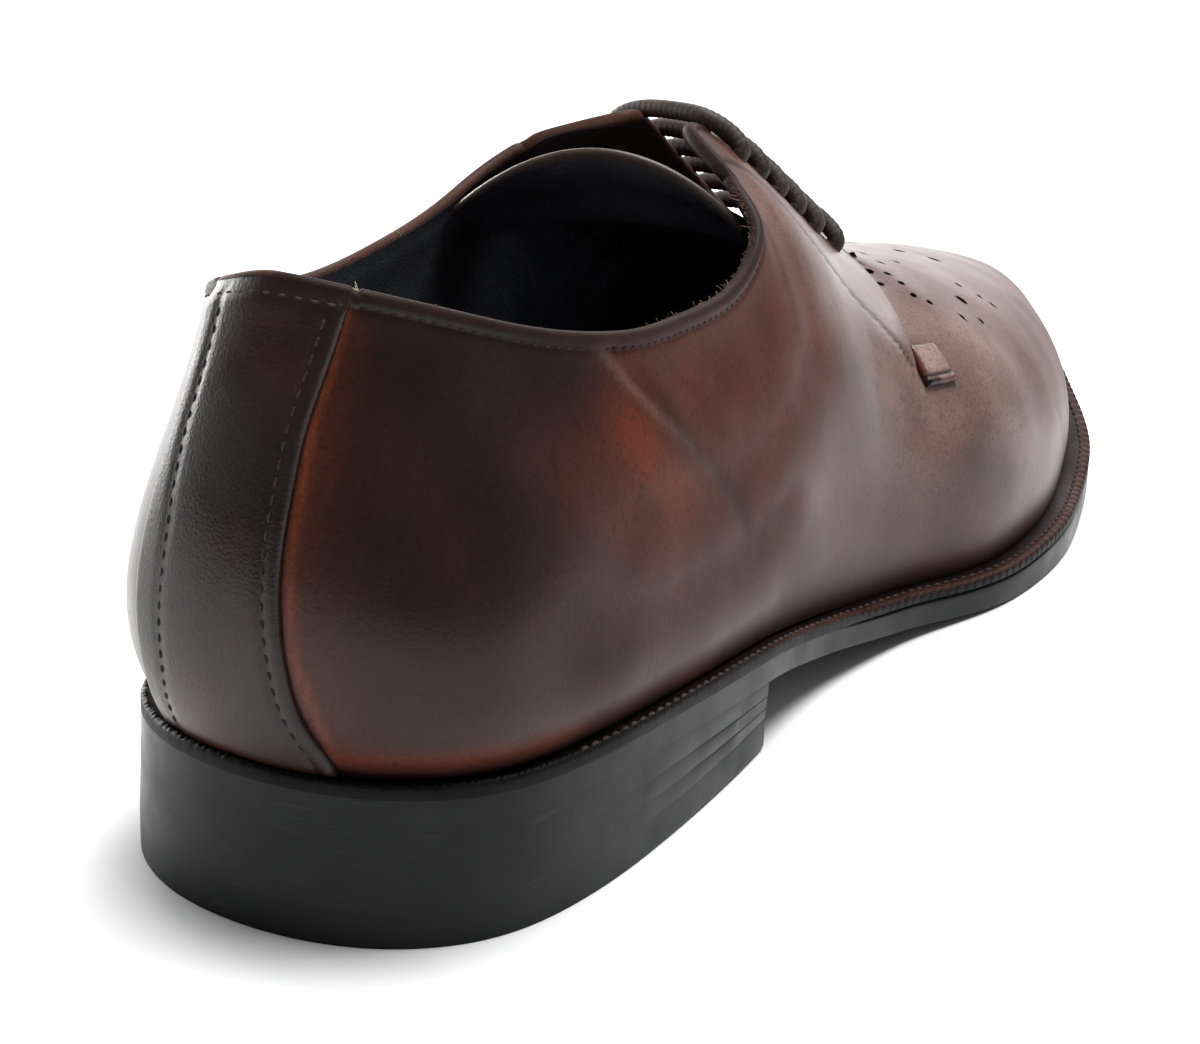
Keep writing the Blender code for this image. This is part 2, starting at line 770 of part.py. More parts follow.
def make_objects():
    """Place every piece with the box centre at the origin and the floor at zero."""
    everything = np.array([point for solid in PIECES.values() for point in solid.points])
    low = everything.min(axis=0)
    high = everything.max(axis=0)
    shift = np.array(((low[0] + high[0]) / 2, (low[1] + high[1]) / 2, 0.0))
    for name, solid in PIECES.items():
        mesh = bpy.data.meshes.new(name)
        work = bmesh.new()
        corners = [work.verts.new((np.array(point) - shift) * MM) for point in solid.points]
        for face in solid.faces:
            work.faces.new([corners[i] for i in face])
        bmesh.ops.recalc_face_normals(work, faces=work.faces)
        if work.calc_volume(signed=True) < 0:
            bmesh.ops.reverse_faces(work, faces=work.faces)
        work.to_mesh(mesh)
        work.free()
        material = bpy.data.materials.new(name)
        material.use_nodes = True
        colour, roughness = FINISHES[name]
        shader = material.node_tree.nodes["Principled BSDF"]
        shader.inputs["Base Color"].default_value = (*colour, 1.0)
        shader.inputs["Roughness"].default_value = roughness
        mesh.materials.append(material)
        bpy.context.scene.collection.objects.link(bpy.data.objects.new(name, mesh))


def main():
    for item in list(bpy.data.objects):
        bpy.data.objects.remove(item, do_unlink=True)
    build_upper()
    build_back_strip()
    build_tongue()
    build_insole()
    build_welt()
    build_outsole()
    build_heel()
    build_tacks()
    build_laces()
    make_objects()


main()
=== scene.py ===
import math

import bmesh
import bpy
import numpy as np
from mathutils import Matrix, Vector


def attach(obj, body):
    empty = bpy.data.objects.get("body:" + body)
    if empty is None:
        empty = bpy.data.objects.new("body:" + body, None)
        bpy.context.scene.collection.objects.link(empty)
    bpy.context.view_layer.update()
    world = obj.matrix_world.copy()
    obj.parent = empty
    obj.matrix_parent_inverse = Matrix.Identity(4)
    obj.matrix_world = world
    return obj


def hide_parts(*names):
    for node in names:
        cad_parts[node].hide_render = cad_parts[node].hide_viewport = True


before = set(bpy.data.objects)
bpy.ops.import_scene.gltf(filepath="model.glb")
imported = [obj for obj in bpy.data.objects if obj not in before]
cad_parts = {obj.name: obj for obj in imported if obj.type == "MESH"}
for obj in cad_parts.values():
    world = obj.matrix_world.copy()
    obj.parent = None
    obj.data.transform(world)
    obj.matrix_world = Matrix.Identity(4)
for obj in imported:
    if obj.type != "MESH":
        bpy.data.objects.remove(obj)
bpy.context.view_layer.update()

MM = 0.001
OUTER = -1
INNER = 1
SIDES = (OUTER, INNER)
SIDE_NAMES = {OUTER: "outer", INNER: "inner"}
UP = np.array((0.0, 0.0, 1.0))

# Driving sizes, the same as those of the solids
LENGTH = 300.0
BALL_WIDTH = 100.0
HEEL_HEIGHT = 18.2
TOE_SPRING = 16.4
BREAST_ALONG = 89.0
INSTEP_HEIGHT = 93.2
WALL = 2.0
WELT_THICK = 2.2
TOP_LIFT_THICK = 5.5
INSOLE_RISE = 2.0
STRIP_THICK = 1.3
TONGUE_THICK = 1.9
TACK_THICK = 1.2
FACING_STEP = 1.0
LACE_RADIUS = 1.5
SKIN = 1.1

# Rows of the foot from the heel back to the toe tip: the sole edge as per cent of LENGTH and of
# BALL_WIDTH, on the outer and the inner side of the foot.
EDGE_COLUMNS = ("outer_along", "outer_wide", "inner_along", "inner_wide")
EDGE_ROWS = (
    (-0.37, 0.0, -0.37, 0.0),
    (0.57, 17.2, 0.90, 15.8),
    (4.0, 30.0, 4.3, 27.7),
    (9.8, 36.1, 9.9, 33.4),
    (18.3, 38.2, 18.3, 33.2),
    (26.0, 38.3, 26.0, 30.0),
    (31.7, 37.6, 31.7, 27.4),
    (35.0, 37.1, 35.0, 26.5),
    (38.0, 37.0, 38.0, 26.2),
    (41.0, 37.6, 41.0, 26.6),
    (44.3, 38.9, 45.0, 28.2),
    (49.0, 41.7, 50.0, 31.6),
    (56.0, 48.6, 57.5, 38.0),
    (61.7, 51.0, 63.3, 43.6),
    (67.5, 50.7, 70.0, 47.1),
    (74.5, 47.0, 77.0, 47.4),
    (81.5, 41.3, 83.5, 44.9),
    (88.5, 29.9, 89.8, 39.3),
    (94.2, 18.3, 95.1, 31.3),
    (98.1, 6.2, 98.7, 20.6),
    (99.93, -9.0, 99.93, 9.0),
)
HEEL_ROW = 0
FACING_TOP_ROW = 8
FRONT_ROW = 11
FAN_ROW = 12
THROAT_ROW = 13
TOE_ROW = len(EDGE_ROWS) - 1

# Top edge of the upper for the rows with an opening: along and out in millimetres, height as
# per cent of INSTEP_HEIGHT.
TOP_COLUMNS = ("outer_along", "outer_out", "outer_high", "inner_along", "inner_out", "inner_high")
TOP_ROWS = (
    (6.5, 0.0, 96.9, 6.5, 0.0, 96.9),
    (9.5, 11.0, 95.6, 9.0, 10.5, 94.1),
    (17.0, 17.8, 92.6, 18.0, 18.5, 89.8),
    (34.5, 27.0, 86.1, 35.0, 25.0, 84.8),
    (56.0, 31.3, 82.2, 57.0, 27.4, 81.2),
    (80.0, 31.0, 81.3, 81.0, 27.4, 83.2),
    (101.0, 27.2, 88.0, 100.0, 27.4, 87.4),
    (108.3, 17.2, 94.9, 112.5, 22.0, 94.2),
    (116.5, 6.4, 100.0, 121.0, 6.4, 99.8),
    (138.0, 6.8, 88.5, 140.0, 6.8, 88.3),
    (160.0, 7.6, 74.6, 161.0, 7.6, 74.6),
    (183.0, 8.6, 61.2, 183.0, 8.6, 61.4),
    (183.0, 8.6, 61.2, 183.0, 8.6, 61.4),
)

# Ridge of the closed vamp: where each later row reaches it, then its sideways bend and height.
RIDGE_ALONG = (184.5, 203.0, 221.0, 239.0, 251.0, 258.5, 262.5, 265.0)
RIDGE_COLUMNS = ("along", "sideways", "high")
RIDGE_LINE = (
    (182.0, 0.0, 63.1),
    (205.0, 0.8, 57.6),
    (222.0, 1.6, 53.8),
    (240.0, 3.0, 49.8),
    (252.0, 4.0, 46.9),
    (262.0, 5.0, 44.2),
    (268.0, 5.6, 42.2),
)

# Swell of the side wall for each row: foot_out pushes the lower wall out, foot_high is the share of
# the height where it acts, top_out pushes the upper wall out, top_drop is the share it hangs down.
SWELL_COLUMNS = ("foot_out", "foot_high", "top_out", "top_drop")
SWELL_ROWS = (
    (12.5, 0.30, 4.0, 0.38),
    (12.5, 0.30, 5.0, 0.38),
    (11.0, 0.31, 4.0, 0.37),
    (8.0, 0.33, 2.8, 0.36),
    (6.0, 0.35, 2.0, 0.34),
    (5.0, 0.37, 2.5, 0.32),
    (5.0, 0.41, 6.0, 0.26),
    (5.0, 0.45, 15.0, 0.16),
    (5.0, 0.50, 23.0, 0.10),
    (6.0, 0.55, 22.0, 0.08),
    (7.0, 0.60, 24.0, 0.07),
    (9.0, 0.66, 30.0, 0.05),
    (8.5, 0.66, 30.0, 0.02),
    (7.5, 0.66, 28.0, 0.0),
    (5.5, 0.65, 29.0, 0.0),
    (3.2, 0.63, 27.5, 0.0),
    (1.5, 0.62, 23.5, 0.0),
    (0.7, 0.62, 20.5, 0.0),
    (0.4, 0.62, 19.5, 0.0),
    (0.4, 0.62, 19.5, 0.0),
    (0.4, 0.62, 19.5, 0.0),
)

# Sole line: share of HEEL_HEIGHT and of TOE_SPRING under the outsole, and the edge with the welt.
SOLE_COLUMNS = ("along", "heel_share", "spring_share", "edge")
SOLE_LINE = (
    (0.0, 1.0, 0.0, 6.2),
    (45.0, 0.88, 0.0, 6.2),
    (90.0, 0.64, 0.0, 6.2),
    (115.0, 0.38, 0.0, 6.3),
    (140.0, 0.16, 0.0, 6.6),
    (165.0, 0.03, 0.0, 7.0),
    (180.0, 0.0, 0.0, 7.4),
    (218.0, 0.0, 0.0, 8.3),
    (240.0, 0.0, 0.105, 8.8),
    (260.0, 0.0, 0.32, 9.2),
    (280.0, 0.0, 0.615, 9.6),
    (302.0, 0.0, 1.03, 9.6),
)

# Welt left showing around the foot of the upper
SHOW_COLUMNS = ("row", "width")
WELT_SHOW = ((0, 2.6), (4, 2.6), (8, 3.2), (13, 4.4), (16, 5.0), (20, 5.2))

# Heel block against the sole edge: a little proud at the back, drawn in at the breast
HEEL_COLUMNS = ("row", "inset")
HEEL_INSET = ((0, -0.5), (3, -0.4), (6.2, 0.5))

# Back strip: its edges as rows at shares of the wall, and how far its stitch rows are from them
STRIP_COLUMNS = ("share", "outer_row", "inner_row")
STRIP_EDGES = (
    (0.012, 0.78, 1.16),
    (0.2, 0.52, 1.06),
    (0.45, 0.43, 1.10),
    (0.7, 0.52, 1.08),
    (0.995, 0.92, 1.0),
)
STRIP_TOP_ROWS = {OUTER: STRIP_EDGES[-1][1], INNER: STRIP_EDGES[-1][2]}
STRIP_INSET_COLUMNS = ("share", "outer_inset", "inner_inset")
STRIP_STITCH_INSET = (
    (0.0, 2.4, 4.6),
    (0.4, 2.4, 6.4),
    (0.75, 2.4, 3.6),
    (1.0, 2.4, 3.6),
)

# Tongue, by its parts from the top edge to the tip: share of the wall where its sides lie, and crown as
# a share of its width.  Then tabs, facing and lace holes.
TONGUE_TOP_ROWS = {OUTER: 6.65, INNER: 5.7}
TONGUE_COLUMNS = ("part", "share", "crown")
TONGUE_SIDES = (
    (0.0, 1.0, 0.225),
    (0.12, 0.86, 0.14),
    (0.3, 0.69, 0.06),
    (0.55, 0.70, 0.05),
    (0.8, 0.75, 0.05),
    (1.0, 0.80, 0.05),
)
TONGUE_GAP = 0.45
TONGUE_NEAR_DROP = 0.085
TONGUE_TIP_ROW = 13.3
TONGUE_TIP_DROP = 0.9
TONGUE_THROUGH = (-0.45, 0.0, -0.89)
TACK_SHARES = (0.47, 0.59)
TACK_ROWS = (10.95, 11.45)
FACING_FADE = (0.36, 0.60)
CORNER_LEAN = 0.3
EYELET_ROWS = (8.35, 8.75, 9.15, 9.53, 9.92, 10.3)
EYELET_SHARE = 0.9

# Fineness of the surfaces
ROW_STEPS = 18
WALL_STEPS = 80
GRID_WALL_STEPS = 160
EDGE_GAP = 0.02
NUDGE = 0.01
HALVINGS = 40
MERGE = 0.004


def column(table, names, name):
    """One named column of a table."""
    return [row[names.index(name)] for row in table]


def unit(vectors):
    """Vectors brought to length one."""
    return vectors / np.linalg.norm(vectors, axis=-1, keepdims=True)


def mix(a, b, t):
    """From a, where t is 0, to b, where t is 1."""
    return a * (1 - t) + b * t


def along_line(at, lengths, points):
    """Points of a line at given lengths along it."""
    return np.stack([np.interp(at, lengths, points[:, k]) for k in range(3)], axis=-1)


def monotone_curve(knots, values, level_start=False):
    """A smooth function through the knots that never overshoots them, level at its start when asked."""
    knots = np.asarray(knots, float)
    values = np.asarray(values, float)
    steps = np.diff(knots)
    slopes = np.diff(values) / steps
    tangents = np.concatenate((slopes[:1], np.zeros(len(knots) - 2), slopes[-1:]))
    if level_start:
        tangents[0] = 0.0
    for i in range(1, len(knots) - 1):
        if slopes[i - 1] * slopes[i] > 0:
            before = 2 * steps[i] + steps[i - 1]
            after = steps[i] + 2 * steps[i - 1]
            tangents[i] = (before + after) / (before / slopes[i - 1] + after / slopes[i])

    def value(at):
        i = np.clip(np.searchsorted(knots, at, side="right") - 1, 0, len(steps) - 1)
        t = np.clip((at - knots[i]) / steps[i], 0.0, 1.0)
        rise = values[i] * (1 + 2 * t) * (1 - t) ** 2 + values[i + 1] * t * t * (3 - 2 * t)
        lean = tangents[i] * t * (1 - t) ** 2 + tangents[i + 1] * t * t * (t - 1)
        return rise + lean * steps[i]

    return value


def table_curve(table, names, knot, name):
    """A smooth function of one named column of a table by another."""
    return monotone_curve(column(table, names, knot), column(table, names, name))


def closed_curve(points):
    """A closed cubic spline: place and direction at a length along it, and the lengths of its knots."""
    points = np.asarray(points, float)
    count = len(points)
    steps = np.linalg.norm(np.roll(points, -1, axis=0) - points, axis=1)
    slopes = (np.roll(points, -1, axis=0) - points) / steps[:, None]
    system = np.zeros((count, count))
    for i in range(count):
        system[i, i - 1] = steps[i - 1]
        system[i, i] = 2 * (steps[i - 1] + steps[i])
        system[i, (i + 1) % count] = steps[i]
    bends = np.linalg.solve(system, 6 * (slopes - np.roll(slopes, 1, axis=0)))
    lengths = np.concatenate(([0.0], np.cumsum(steps)))

    def place(at):
        at = at % lengths[-1]
        i = min(int(np.searchsorted(lengths, at, side="right")) - 1, count - 1)
        j = (i + 1) % count
        t = at - lengths[i]
        lean = slopes[i] - steps[i] * (2 * bends[i] + bends[j]) / 6
        turn = (bends[j] - bends[i]) / steps[i]
        point = points[i] + t * lean + t * t * bends[i] / 2 + t ** 3 * turn / 6
        direction = lean + t * bends[i] + t * t * turn / 2
        return point, direction / np.linalg.norm(direction)

    return place, lengths


def edge_loop():
    """Sole edge points: heel back, outer side, toe tip, then the inner side back to the heel."""
    runs = {}
    for side, name in SIDE_NAMES.items():
        along = np.array(column(EDGE_ROWS, EDGE_COLUMNS, name + "_along")) * LENGTH / 100
        wide = np.array(column(EDGE_ROWS, EDGE_COLUMNS, name + "_wide")) * BALL_WIDTH / 100
        runs[side] = list(zip(along, side * wide))
    return runs[OUTER] + runs[INNER][-2:0:-1]


EDGE_PLACE, EDGE_LENGTHS = closed_curve(edge_loop())
ROWS = range(len(EDGE_ROWS))
SWELL = {name: monotone_curve(ROWS, column(SWELL_ROWS, SWELL_COLUMNS, name)) for name in SWELL_COLUMNS}
SOLE = {name: table_curve(SOLE_LINE, SOLE_COLUMNS, "along", name) for name in SOLE_COLUMNS[1:]}
SHOW = table_curve(WELT_SHOW, SHOW_COLUMNS, "row", "width")
RIDGE_SIDEWAYS = table_curve(RIDGE_LINE, RIDGE_COLUMNS, "along", "sideways")
RIDGE_HIGH = table_curve(RIDGE_LINE, RIDGE_COLUMNS, "along", "high")
RIDGE_REACH = monotone_curve(range(THROAT_ROW, TOE_ROW + 1), RIDGE_ALONG)
HEEL_DRAW = table_curve(HEEL_INSET, HEEL_COLUMNS, "row", "inset")
STRIP_ENDS = {
    side: table_curve(STRIP_EDGES, STRIP_COLUMNS, "share", name + "_row")
    for side, name in SIDE_NAMES.items()
}


def ridge(along):
    """Point of the vamp's ridge."""
    return np.array((along, RIDGE_SIDEWAYS(along), RIDGE_HIGH(along) * INSTEP_HEIGHT / 100))


def ridge_slope(along):
    """Rise of the ridge for each millimetre along the foot."""
    return (RIDGE_HIGH(along + 1) - RIDGE_HIGH(along - 1)) / 2 * INSTEP_HEIGHT / 100


def top_curves():
    """Curves of the open top edge for each side, ending at the ridge."""
    start = ridge(RIDGE_ALONG[0])
    curves = {}
    for side, name in SIDE_NAMES.items():
        along = column(TOP_ROWS, TOP_COLUMNS, name + "_along") + [start[0]]
        out = [side * value for value in column(TOP_ROWS, TOP_COLUMNS, name + "_out")] + [start[1]]
        high = [value * INSTEP_HEIGHT / 100 for value in column(TOP_ROWS, TOP_COLUMNS, name + "_high")]
        rows = range(THROAT_ROW + 1)
        curves[side] = [
            monotone_curve(rows, along, level_start=True),
            monotone_curve(rows, out),
            monotone_curve(rows, high + [start[2]], level_start=True),
        ]
    return curves


TOP = top_curves()


def smooth_step(start, end, at):
    """Eased rise from 0 at start to 1 at end."""
    t = np.clip((at - start) / (end - start), 0.0, 1.0)
    return t * t * (3 - 2 * t)


def bump(at, middle, width):
    """Bell of height one."""
    return np.exp(-(((at - middle) / width) ** 2))


def sole_low(along):
    """Underside of the outsole above the floor."""
    return SOLE["heel_share"](along) * HEEL_HEIGHT + SOLE["spring_share"](along) * TOE_SPRING


def sole_top(along):
    """Top of the welt above the floor."""
    return sole_low(along) + SOLE["edge"](along)


def edge_point(row, side, inset=0.0):
    """Sole edge at a row, moved inwards, with its outward normal."""
    count = len(EDGE_LENGTHS) - 1
    index = row if side == OUTER else count - row
    point, direction = EDGE_PLACE(np.interp(index, range(count + 1), EDGE_LENGTHS))
    normal = np.array((direction[1], -direction[0]))
    return point - inset * normal, normal


def top_point(row, side):
    """Top edge of the upper: collar and facing behind the throat row, the ridge after it."""
    if row >= THROAT_ROW:
        return ridge(RIDGE_REACH(row))
    return np.array([curve(row) for curve in TOP[side]])


def rough_profile(row, side):
    """Four control points of the wall at a row, its foot resting on the welt."""
    foot_plan, normal = edge_point(row, side, SHOW(row))
    foot = np.array((*foot_plan, sole_top(foot_plan[0])))
    top = top_point(row, side)
    height = top[2] - foot[2]
    across = unit(foot[:2] - top[:2])
    turn = smooth_step(FACING_TOP_ROW - 2, FRONT_ROW, row)
    out = unit(mix(normal, across, turn))
    reach = SWELL["top_out"](row)
    follow = smooth_step(FRONT_ROW, THROAT_ROW, row) * ridge_slope(top[0]) * out[0] * reach
    low = foot + np.array((*(normal * SWELL["foot_out"](row)), height * SWELL["foot_high"](row)))
    high = top + np.array((*(out * reach), follow - height * SWELL["top_drop"](row)))
    return foot, low, high, top


# Rows over which the wall and the collar's edge are evened out, and how far each row is mixed
SOFT_STEPS = 40
SOFT_TAPS = 41
WALL_REACH = 1.7
EDGE_REACH = 0.55
WALL_BLEND = ((3.5, 5.5), (13.0, 14.5))
EDGE_BLEND = ((0.6, 1.2), (6.6, 7.2))


def evened(rows, values, reach, blend):
    """Values for each row, evened out over the rows beside them between two blends."""
    mean = np.zeros_like(values)
    offsets = np.linspace(-reach, reach, SOFT_TAPS)
    weights = 1 + np.cos(math.pi * offsets / reach)
    for weight, offset in zip(weights / weights.sum(), offsets):
        at = np.clip(rows + offset, HEEL_ROW, TOE_ROW)
        mean += weight * along_line(at, rows, values)
    amount = smooth_step(*blend[0], rows) * (1 - smooth_step(*blend[1], rows))
    return values + (mean - values) * amount[:, None]


SOFT_ROWS = np.linspace(HEEL_ROW, TOE_ROW, SOFT_STEPS * TOE_ROW + 1)


def soft_wall(side):
    """Control points of the wall on close rows, the upper ones evened out."""
    controls = np.array([rough_profile(row, side) for row in SOFT_ROWS])
    controls[:, 2] = evened(SOFT_ROWS, controls[:, 2], WALL_REACH, WALL_BLEND)
    controls[:, 3] = evened(SOFT_ROWS, controls[:, 3], EDGE_REACH, EDGE_BLEND)
    return controls


SOFT_WALL = {side: soft_wall(side) for side in SIDES}


def between(a, b, c, d, t):
    """Point of a smooth curve from b to c, with a before and d after them."""
    return b + 0.5 * t * (c - a + t * (2 * a - 5 * b + 4 * c - d + t * (3 * (b - c) + d - a)))


def profile(row, side):
    """Control points of the wall at a row, with the evened upper ones."""
    foot, low, high, top = rough_profile(row, side)
    i = min(int(row * SOFT_STEPS), len(SOFT_ROWS) - 2)
    run = SOFT_WALL[side][max(i - 1, 0):i + 3, 2:]
    t = row * SOFT_STEPS - i
    if len(run) < 4:
        return foot, low, *mix(SOFT_WALL[side][i, 2:], SOFT_WALL[side][i + 1, 2:], t)
    return foot, low, *between(*run, t)


def bezier(points, shares):
    """Points of a cubic curve."""
    a, b, c, d = points
    share = np.asarray(shares, float)[:, None]
    rest = 1 - share
    return a * rest ** 3 + b * 3 * share * rest ** 2 + c * 3 * share ** 2 * rest + d * share ** 3


def edge_lean(row):
    """Sideways lean of the vamp's back edge, from the facing's corner to the ridge."""
    return CORNER_LEAN * (1 - smooth_step(FAN_ROW, THROAT_ROW, row))


def wall_row(row, side, shares):
    """Points and outward normals of the wall's base surface at one row."""
    shares = np.asarray(shares, float)
    middle = profile(row, side)
    before = profile(max(row - NUDGE, HEEL_ROW), side)
    after = profile(min(row + NUDGE, TOE_ROW), side)
    points = bezier(middle, shares)
    along = bezier(after, shares) - bezier(before, shares)
    rise = bezier(middle, np.minimum(shares + NUDGE, 1)) - bezier(middle, np.maximum(shares - NUDGE, 0))
    normals = np.cross(along, rise) * -side
    if row in (HEEL_ROW, TOE_ROW):
        normals[:, 1] = 0.0
    if row > FRONT_ROW:
        normals[shares == 1] = (-ridge_slope(top_point(row, side)[0]), side * edge_lean(row), 1.0)
    return points, unit(normals)


def facing_rise(row, shares):
    """Extra thickness of the facing, which ends in a step at its front edge."""
    if row > FRONT_ROW:
        return np.zeros(len(shares))
    rise = FACING_STEP * smooth_step(FACING_TOP_ROW, FRONT_ROW, row)
    return rise * smooth_step(*FACING_FADE, np.asarray(shares, float))


def even_rows(steps):
    """Rows from heel to toe in even steps."""
    return [start + k / steps for start in range(TOE_ROW) for k in range(steps)] + [TOE_ROW]


def fine_rows(steps):
    """Close rows from heel to toe, with a close pair at the facing's front edge."""
    rows = even_rows(steps)
    place = rows.index(FRONT_ROW)
    rows[place:place + 1] = [FRONT_ROW - EDGE_GAP, FRONT_ROW + EDGE_GAP]
    return rows


GRID_ROWS = np.array(fine_rows(ROW_STEPS), float)
GRID_SHARES = np.linspace(0.0, 1.0, GRID_WALL_STEPS + 1)


def surface_grid(side):
    """Points, normals and facing rise of one side of the upper on close rows and shares."""
    walls = [wall_row(row, side, GRID_SHARES) for row in GRID_ROWS]
    points = np.array([wall[0] for wall in walls])
    normals = np.array([wall[1] for wall in walls])
    rises = np.array([facing_rise(row, GRID_SHARES) for row in GRID_ROWS])
    return np.concatenate((points, normals, rises[..., None]), axis=-1)


SURFACE = {side: surface_grid(side) for side in SIDES}
for end_row in (0, -1):
    SURFACE[INNER][end_row] = SURFACE[OUTER][end_row]


def surface(side, rows, shares):
    """Base points, normals and facing rise of the upper at arrays of rows and shares."""
    rows, shares = np.broadcast_arrays(np.asarray(rows, float), np.asarray(shares, float))
    i = np.clip(np.searchsorted(GRID_ROWS, rows, side="right") - 1, 0, len(GRID_ROWS) - 2)
    j = np.clip((shares * GRID_WALL_STEPS).astype(int), 0, GRID_WALL_STEPS - 1)
    t = ((rows - GRID_ROWS[i]) / (GRID_ROWS[i + 1] - GRID_ROWS[i]))[..., None]
    u = (shares * GRID_WALL_STEPS - j)[..., None]
    grid = SURFACE[side]
    low = mix(grid[i, j], grid[i, j + 1], u)
    high = mix(grid[i + 1, j], grid[i + 1, j + 1], u)
    mixed = mix(low, high, t)
    return mixed[..., :3], unit(mixed[..., 3:6]), mixed[..., 6]


def on_upper(side, rows, shares, lift=0.0):
    """Points of the outside of the upper, raised by lift, and their normals."""
    points, normals, rises = surface(side, rows, shares)
    return points + normals * (rises + lift)[..., None], normals


def surface_line(side, places, steps=8):
    """Points of the upper's outside along a line of (row, share) places."""
    places = np.array(places, float)
    at = np.linspace(0.0, len(places) - 1, steps * (len(places) - 1) + 1)
    rows = np.interp(at, range(len(places)), places[:, 0])
    shares = np.interp(at, range(len(places)), places[:, 1])
    return on_upper(side, rows, shares)[0]


def line_place(points, line):
    """Distance of each point from a line of points, and how far along the line it is, from 0 to 1."""
    best = np.full(points.shape[:-1], np.inf)
    place = np.zeros(points.shape[:-1])
    for number, (a, b) in enumerate(zip(line, line[1:])):
        d = b - a
        t = np.clip((points - a) @ d / (d @ d), 0.0, 1.0)
        distance = np.linalg.norm(points - a - t[..., None] * d, axis=-1)
        place = np.where(distance < best, (number + t) / (len(line) - 1), place)
        best = np.minimum(best, distance)
    return best, place


def line_distance(points, line):
    """Distance of each point from a line of points."""
    return line_place(points, line)[0]


def arc_lengths(points):
    """Length along each row of points, from its first point."""
    steps = np.linalg.norm(np.diff(points, axis=-2), axis=-1)
    start = np.zeros(points.shape[:-2] + (1,))
    return np.concatenate((start, np.cumsum(steps, axis=-1)), axis=-1)


def lengths_down(points):
    """Length down each column of points, from its first point."""
    return arc_lengths(points.swapaxes(0, 1)).swapaxes(0, 1)


EDGE_ROUND = 0.9


def rounded(from_edge):
    """Height of a rounded edge, from 0 at the edge to 1 at EDGE_ROUND from it."""
    return np.sqrt(1 - (1 - np.clip(from_edge / EDGE_ROUND, 0.0, 1.0)) ** 2)


# The frame's origin, found from the heel-back corner of the welt
HEEL_BACK = min((corner.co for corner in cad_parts["welt"].data.vertices), key=lambda co: co.x)
SHIFT = np.array((*(edge_point(HEEL_ROW, OUTER)[0] - np.array(HEEL_BACK[:2]) / MM), 0.0))


# Colours of the finishes and of painted light and shade, linear red, green and blue
COLOURS = {
    "brown": (0.064, 0.015, 0.008),
    "amber": (0.17, 0.042, 0.015),
    "orange": (0.125, 0.025, 0.007),
    "rust": (0.078, 0.018, 0.009),
    "oxblood": (0.030, 0.009, 0.0075),
    "espresso": (0.010, 0.005, 0.005),
    # Painted sheen: a lighter, greyer brown standing in for reflections on vamp, toe and the crease's ridge
    "painted_sheen": (0.19, 0.130, 0.116),
    "strip": (0.010, 0.0065, 0.0055),
    "edge": (0.020, 0.009, 0.007),
    "thread": (0.030, 0.020, 0.016),
    "waxed_thread": (0.042, 0.030, 0.024),
    # Tab's face: a painted highlight
    "pale": (0.34, 0.24, 0.215),
    "cord": (0.060, 0.044, 0.034),
    # Painted shade between the strands of the cord
    "cord_gap_shade": (0.012, 0.009, 0.008),
    "black": (0.006, 0.005, 0.006),
    "welt": (0.040, 0.017, 0.012),
    "sole": (0.0050, 0.0054, 0.0056),
    "worn_edge": (0.07, 0.07, 0.07),
    "lining": (0.048, 0.049, 0.056),
    # Tongue's underside: the lining colour made lighter, as painted fill light
    "tongue_lining_painted_light": (0.060, 0.060, 0.072),
    "tongue_rim": (0.060, 0.045, 0.037),
    # Far side's rim roll: brown leather, made lighter as painted light where the roll catches light
    "far_rim_brown_and_light": (0.055, 0.022, 0.014),
    # Lining deep in the shoe, lighter and greyer as painted light
    "deep_lining_painted_light": (0.11, 0.113, 0.14),
    "fibre": (0.14, 0.075, 0.05),
    "pale_fibre": (0.50, 0.42, 0.29),
}


def colour(name):
    """A finish's colour as an array."""
    return np.array(COLOURS[name])


def toward(tint, finish, amount):
    """Colours mixed towards a finish by an amount for each place."""
    return tint + (colour(finish) - tint) * amount[..., None]


class Shape:
    """Corners, faces and corner colours of one piece."""

    def __init__(self):
        self.points = []
        self.tints = []
        self.matts = []
        self.faces = []
        self.count = 0

    def add(self, points, tint, matt=0.0):
        """Adds an array of corners with colour and mattness, and gives their numbers in the same layout."""
        points = np.asarray(points, float)
        layout = points.shape[:-1]
        size = int(np.prod(layout))
        numbers = np.arange(self.count, self.count + size).reshape(layout)
        self.points.append(points.reshape(-1, 3))
        self.tints.append(np.broadcast_to(tint, points.shape).reshape(-1, 3))
        self.matts.append(np.broadcast_to(matt, layout).ravel())
        self.count += size
        return numbers

    def skin(self, numbers, around=False):
        """Four-sided faces over a grid of corners, joined around when asked."""
        grid = np.asarray(numbers)
        if around:
            grid = np.concatenate((grid, grid[:, :1]), axis=1)
        corners = (grid[:-1, :-1], grid[1:, :-1], grid[1:, 1:], grid[:-1, 1:])
        self.faces += np.stack(corners, axis=-1).reshape(-1, 4).tolist()

    def bridge(self, first, second, around=False):
        """Faces between two runs of corners."""
        self.skin(np.stack((first, second)), around)

    def rod(self, rings, tint):
        """A closed rod over rings of corners."""
        numbers = self.add(rings, tint)
        self.skin(numbers, around=True)
        self.faces += [numbers[0].tolist(), numbers[-1].tolist()]

    def skins(self, top, bottom, tint, under_tint, matt=0.0):
        """Both faces of a layer, still open at its edges, and the numbers of their corners."""
        a = self.add(top, tint, matt)
        b = self.add(bottom, under_tint)
        self.skin(a)
        self.skin(b)
        return a, b

    def sheet(self, top, bottom, tint, under_tint):
        """A closed sheet between two grids of the same layout."""
        a, b = self.skins(top, bottom, tint, under_tint)
        for first, second in ((a[0], b[0]), (a[-1], b[-1]), (a[:, 0], b[:, 0]), (a[:, -1], b[:, -1])):
            self.bridge(first, second)


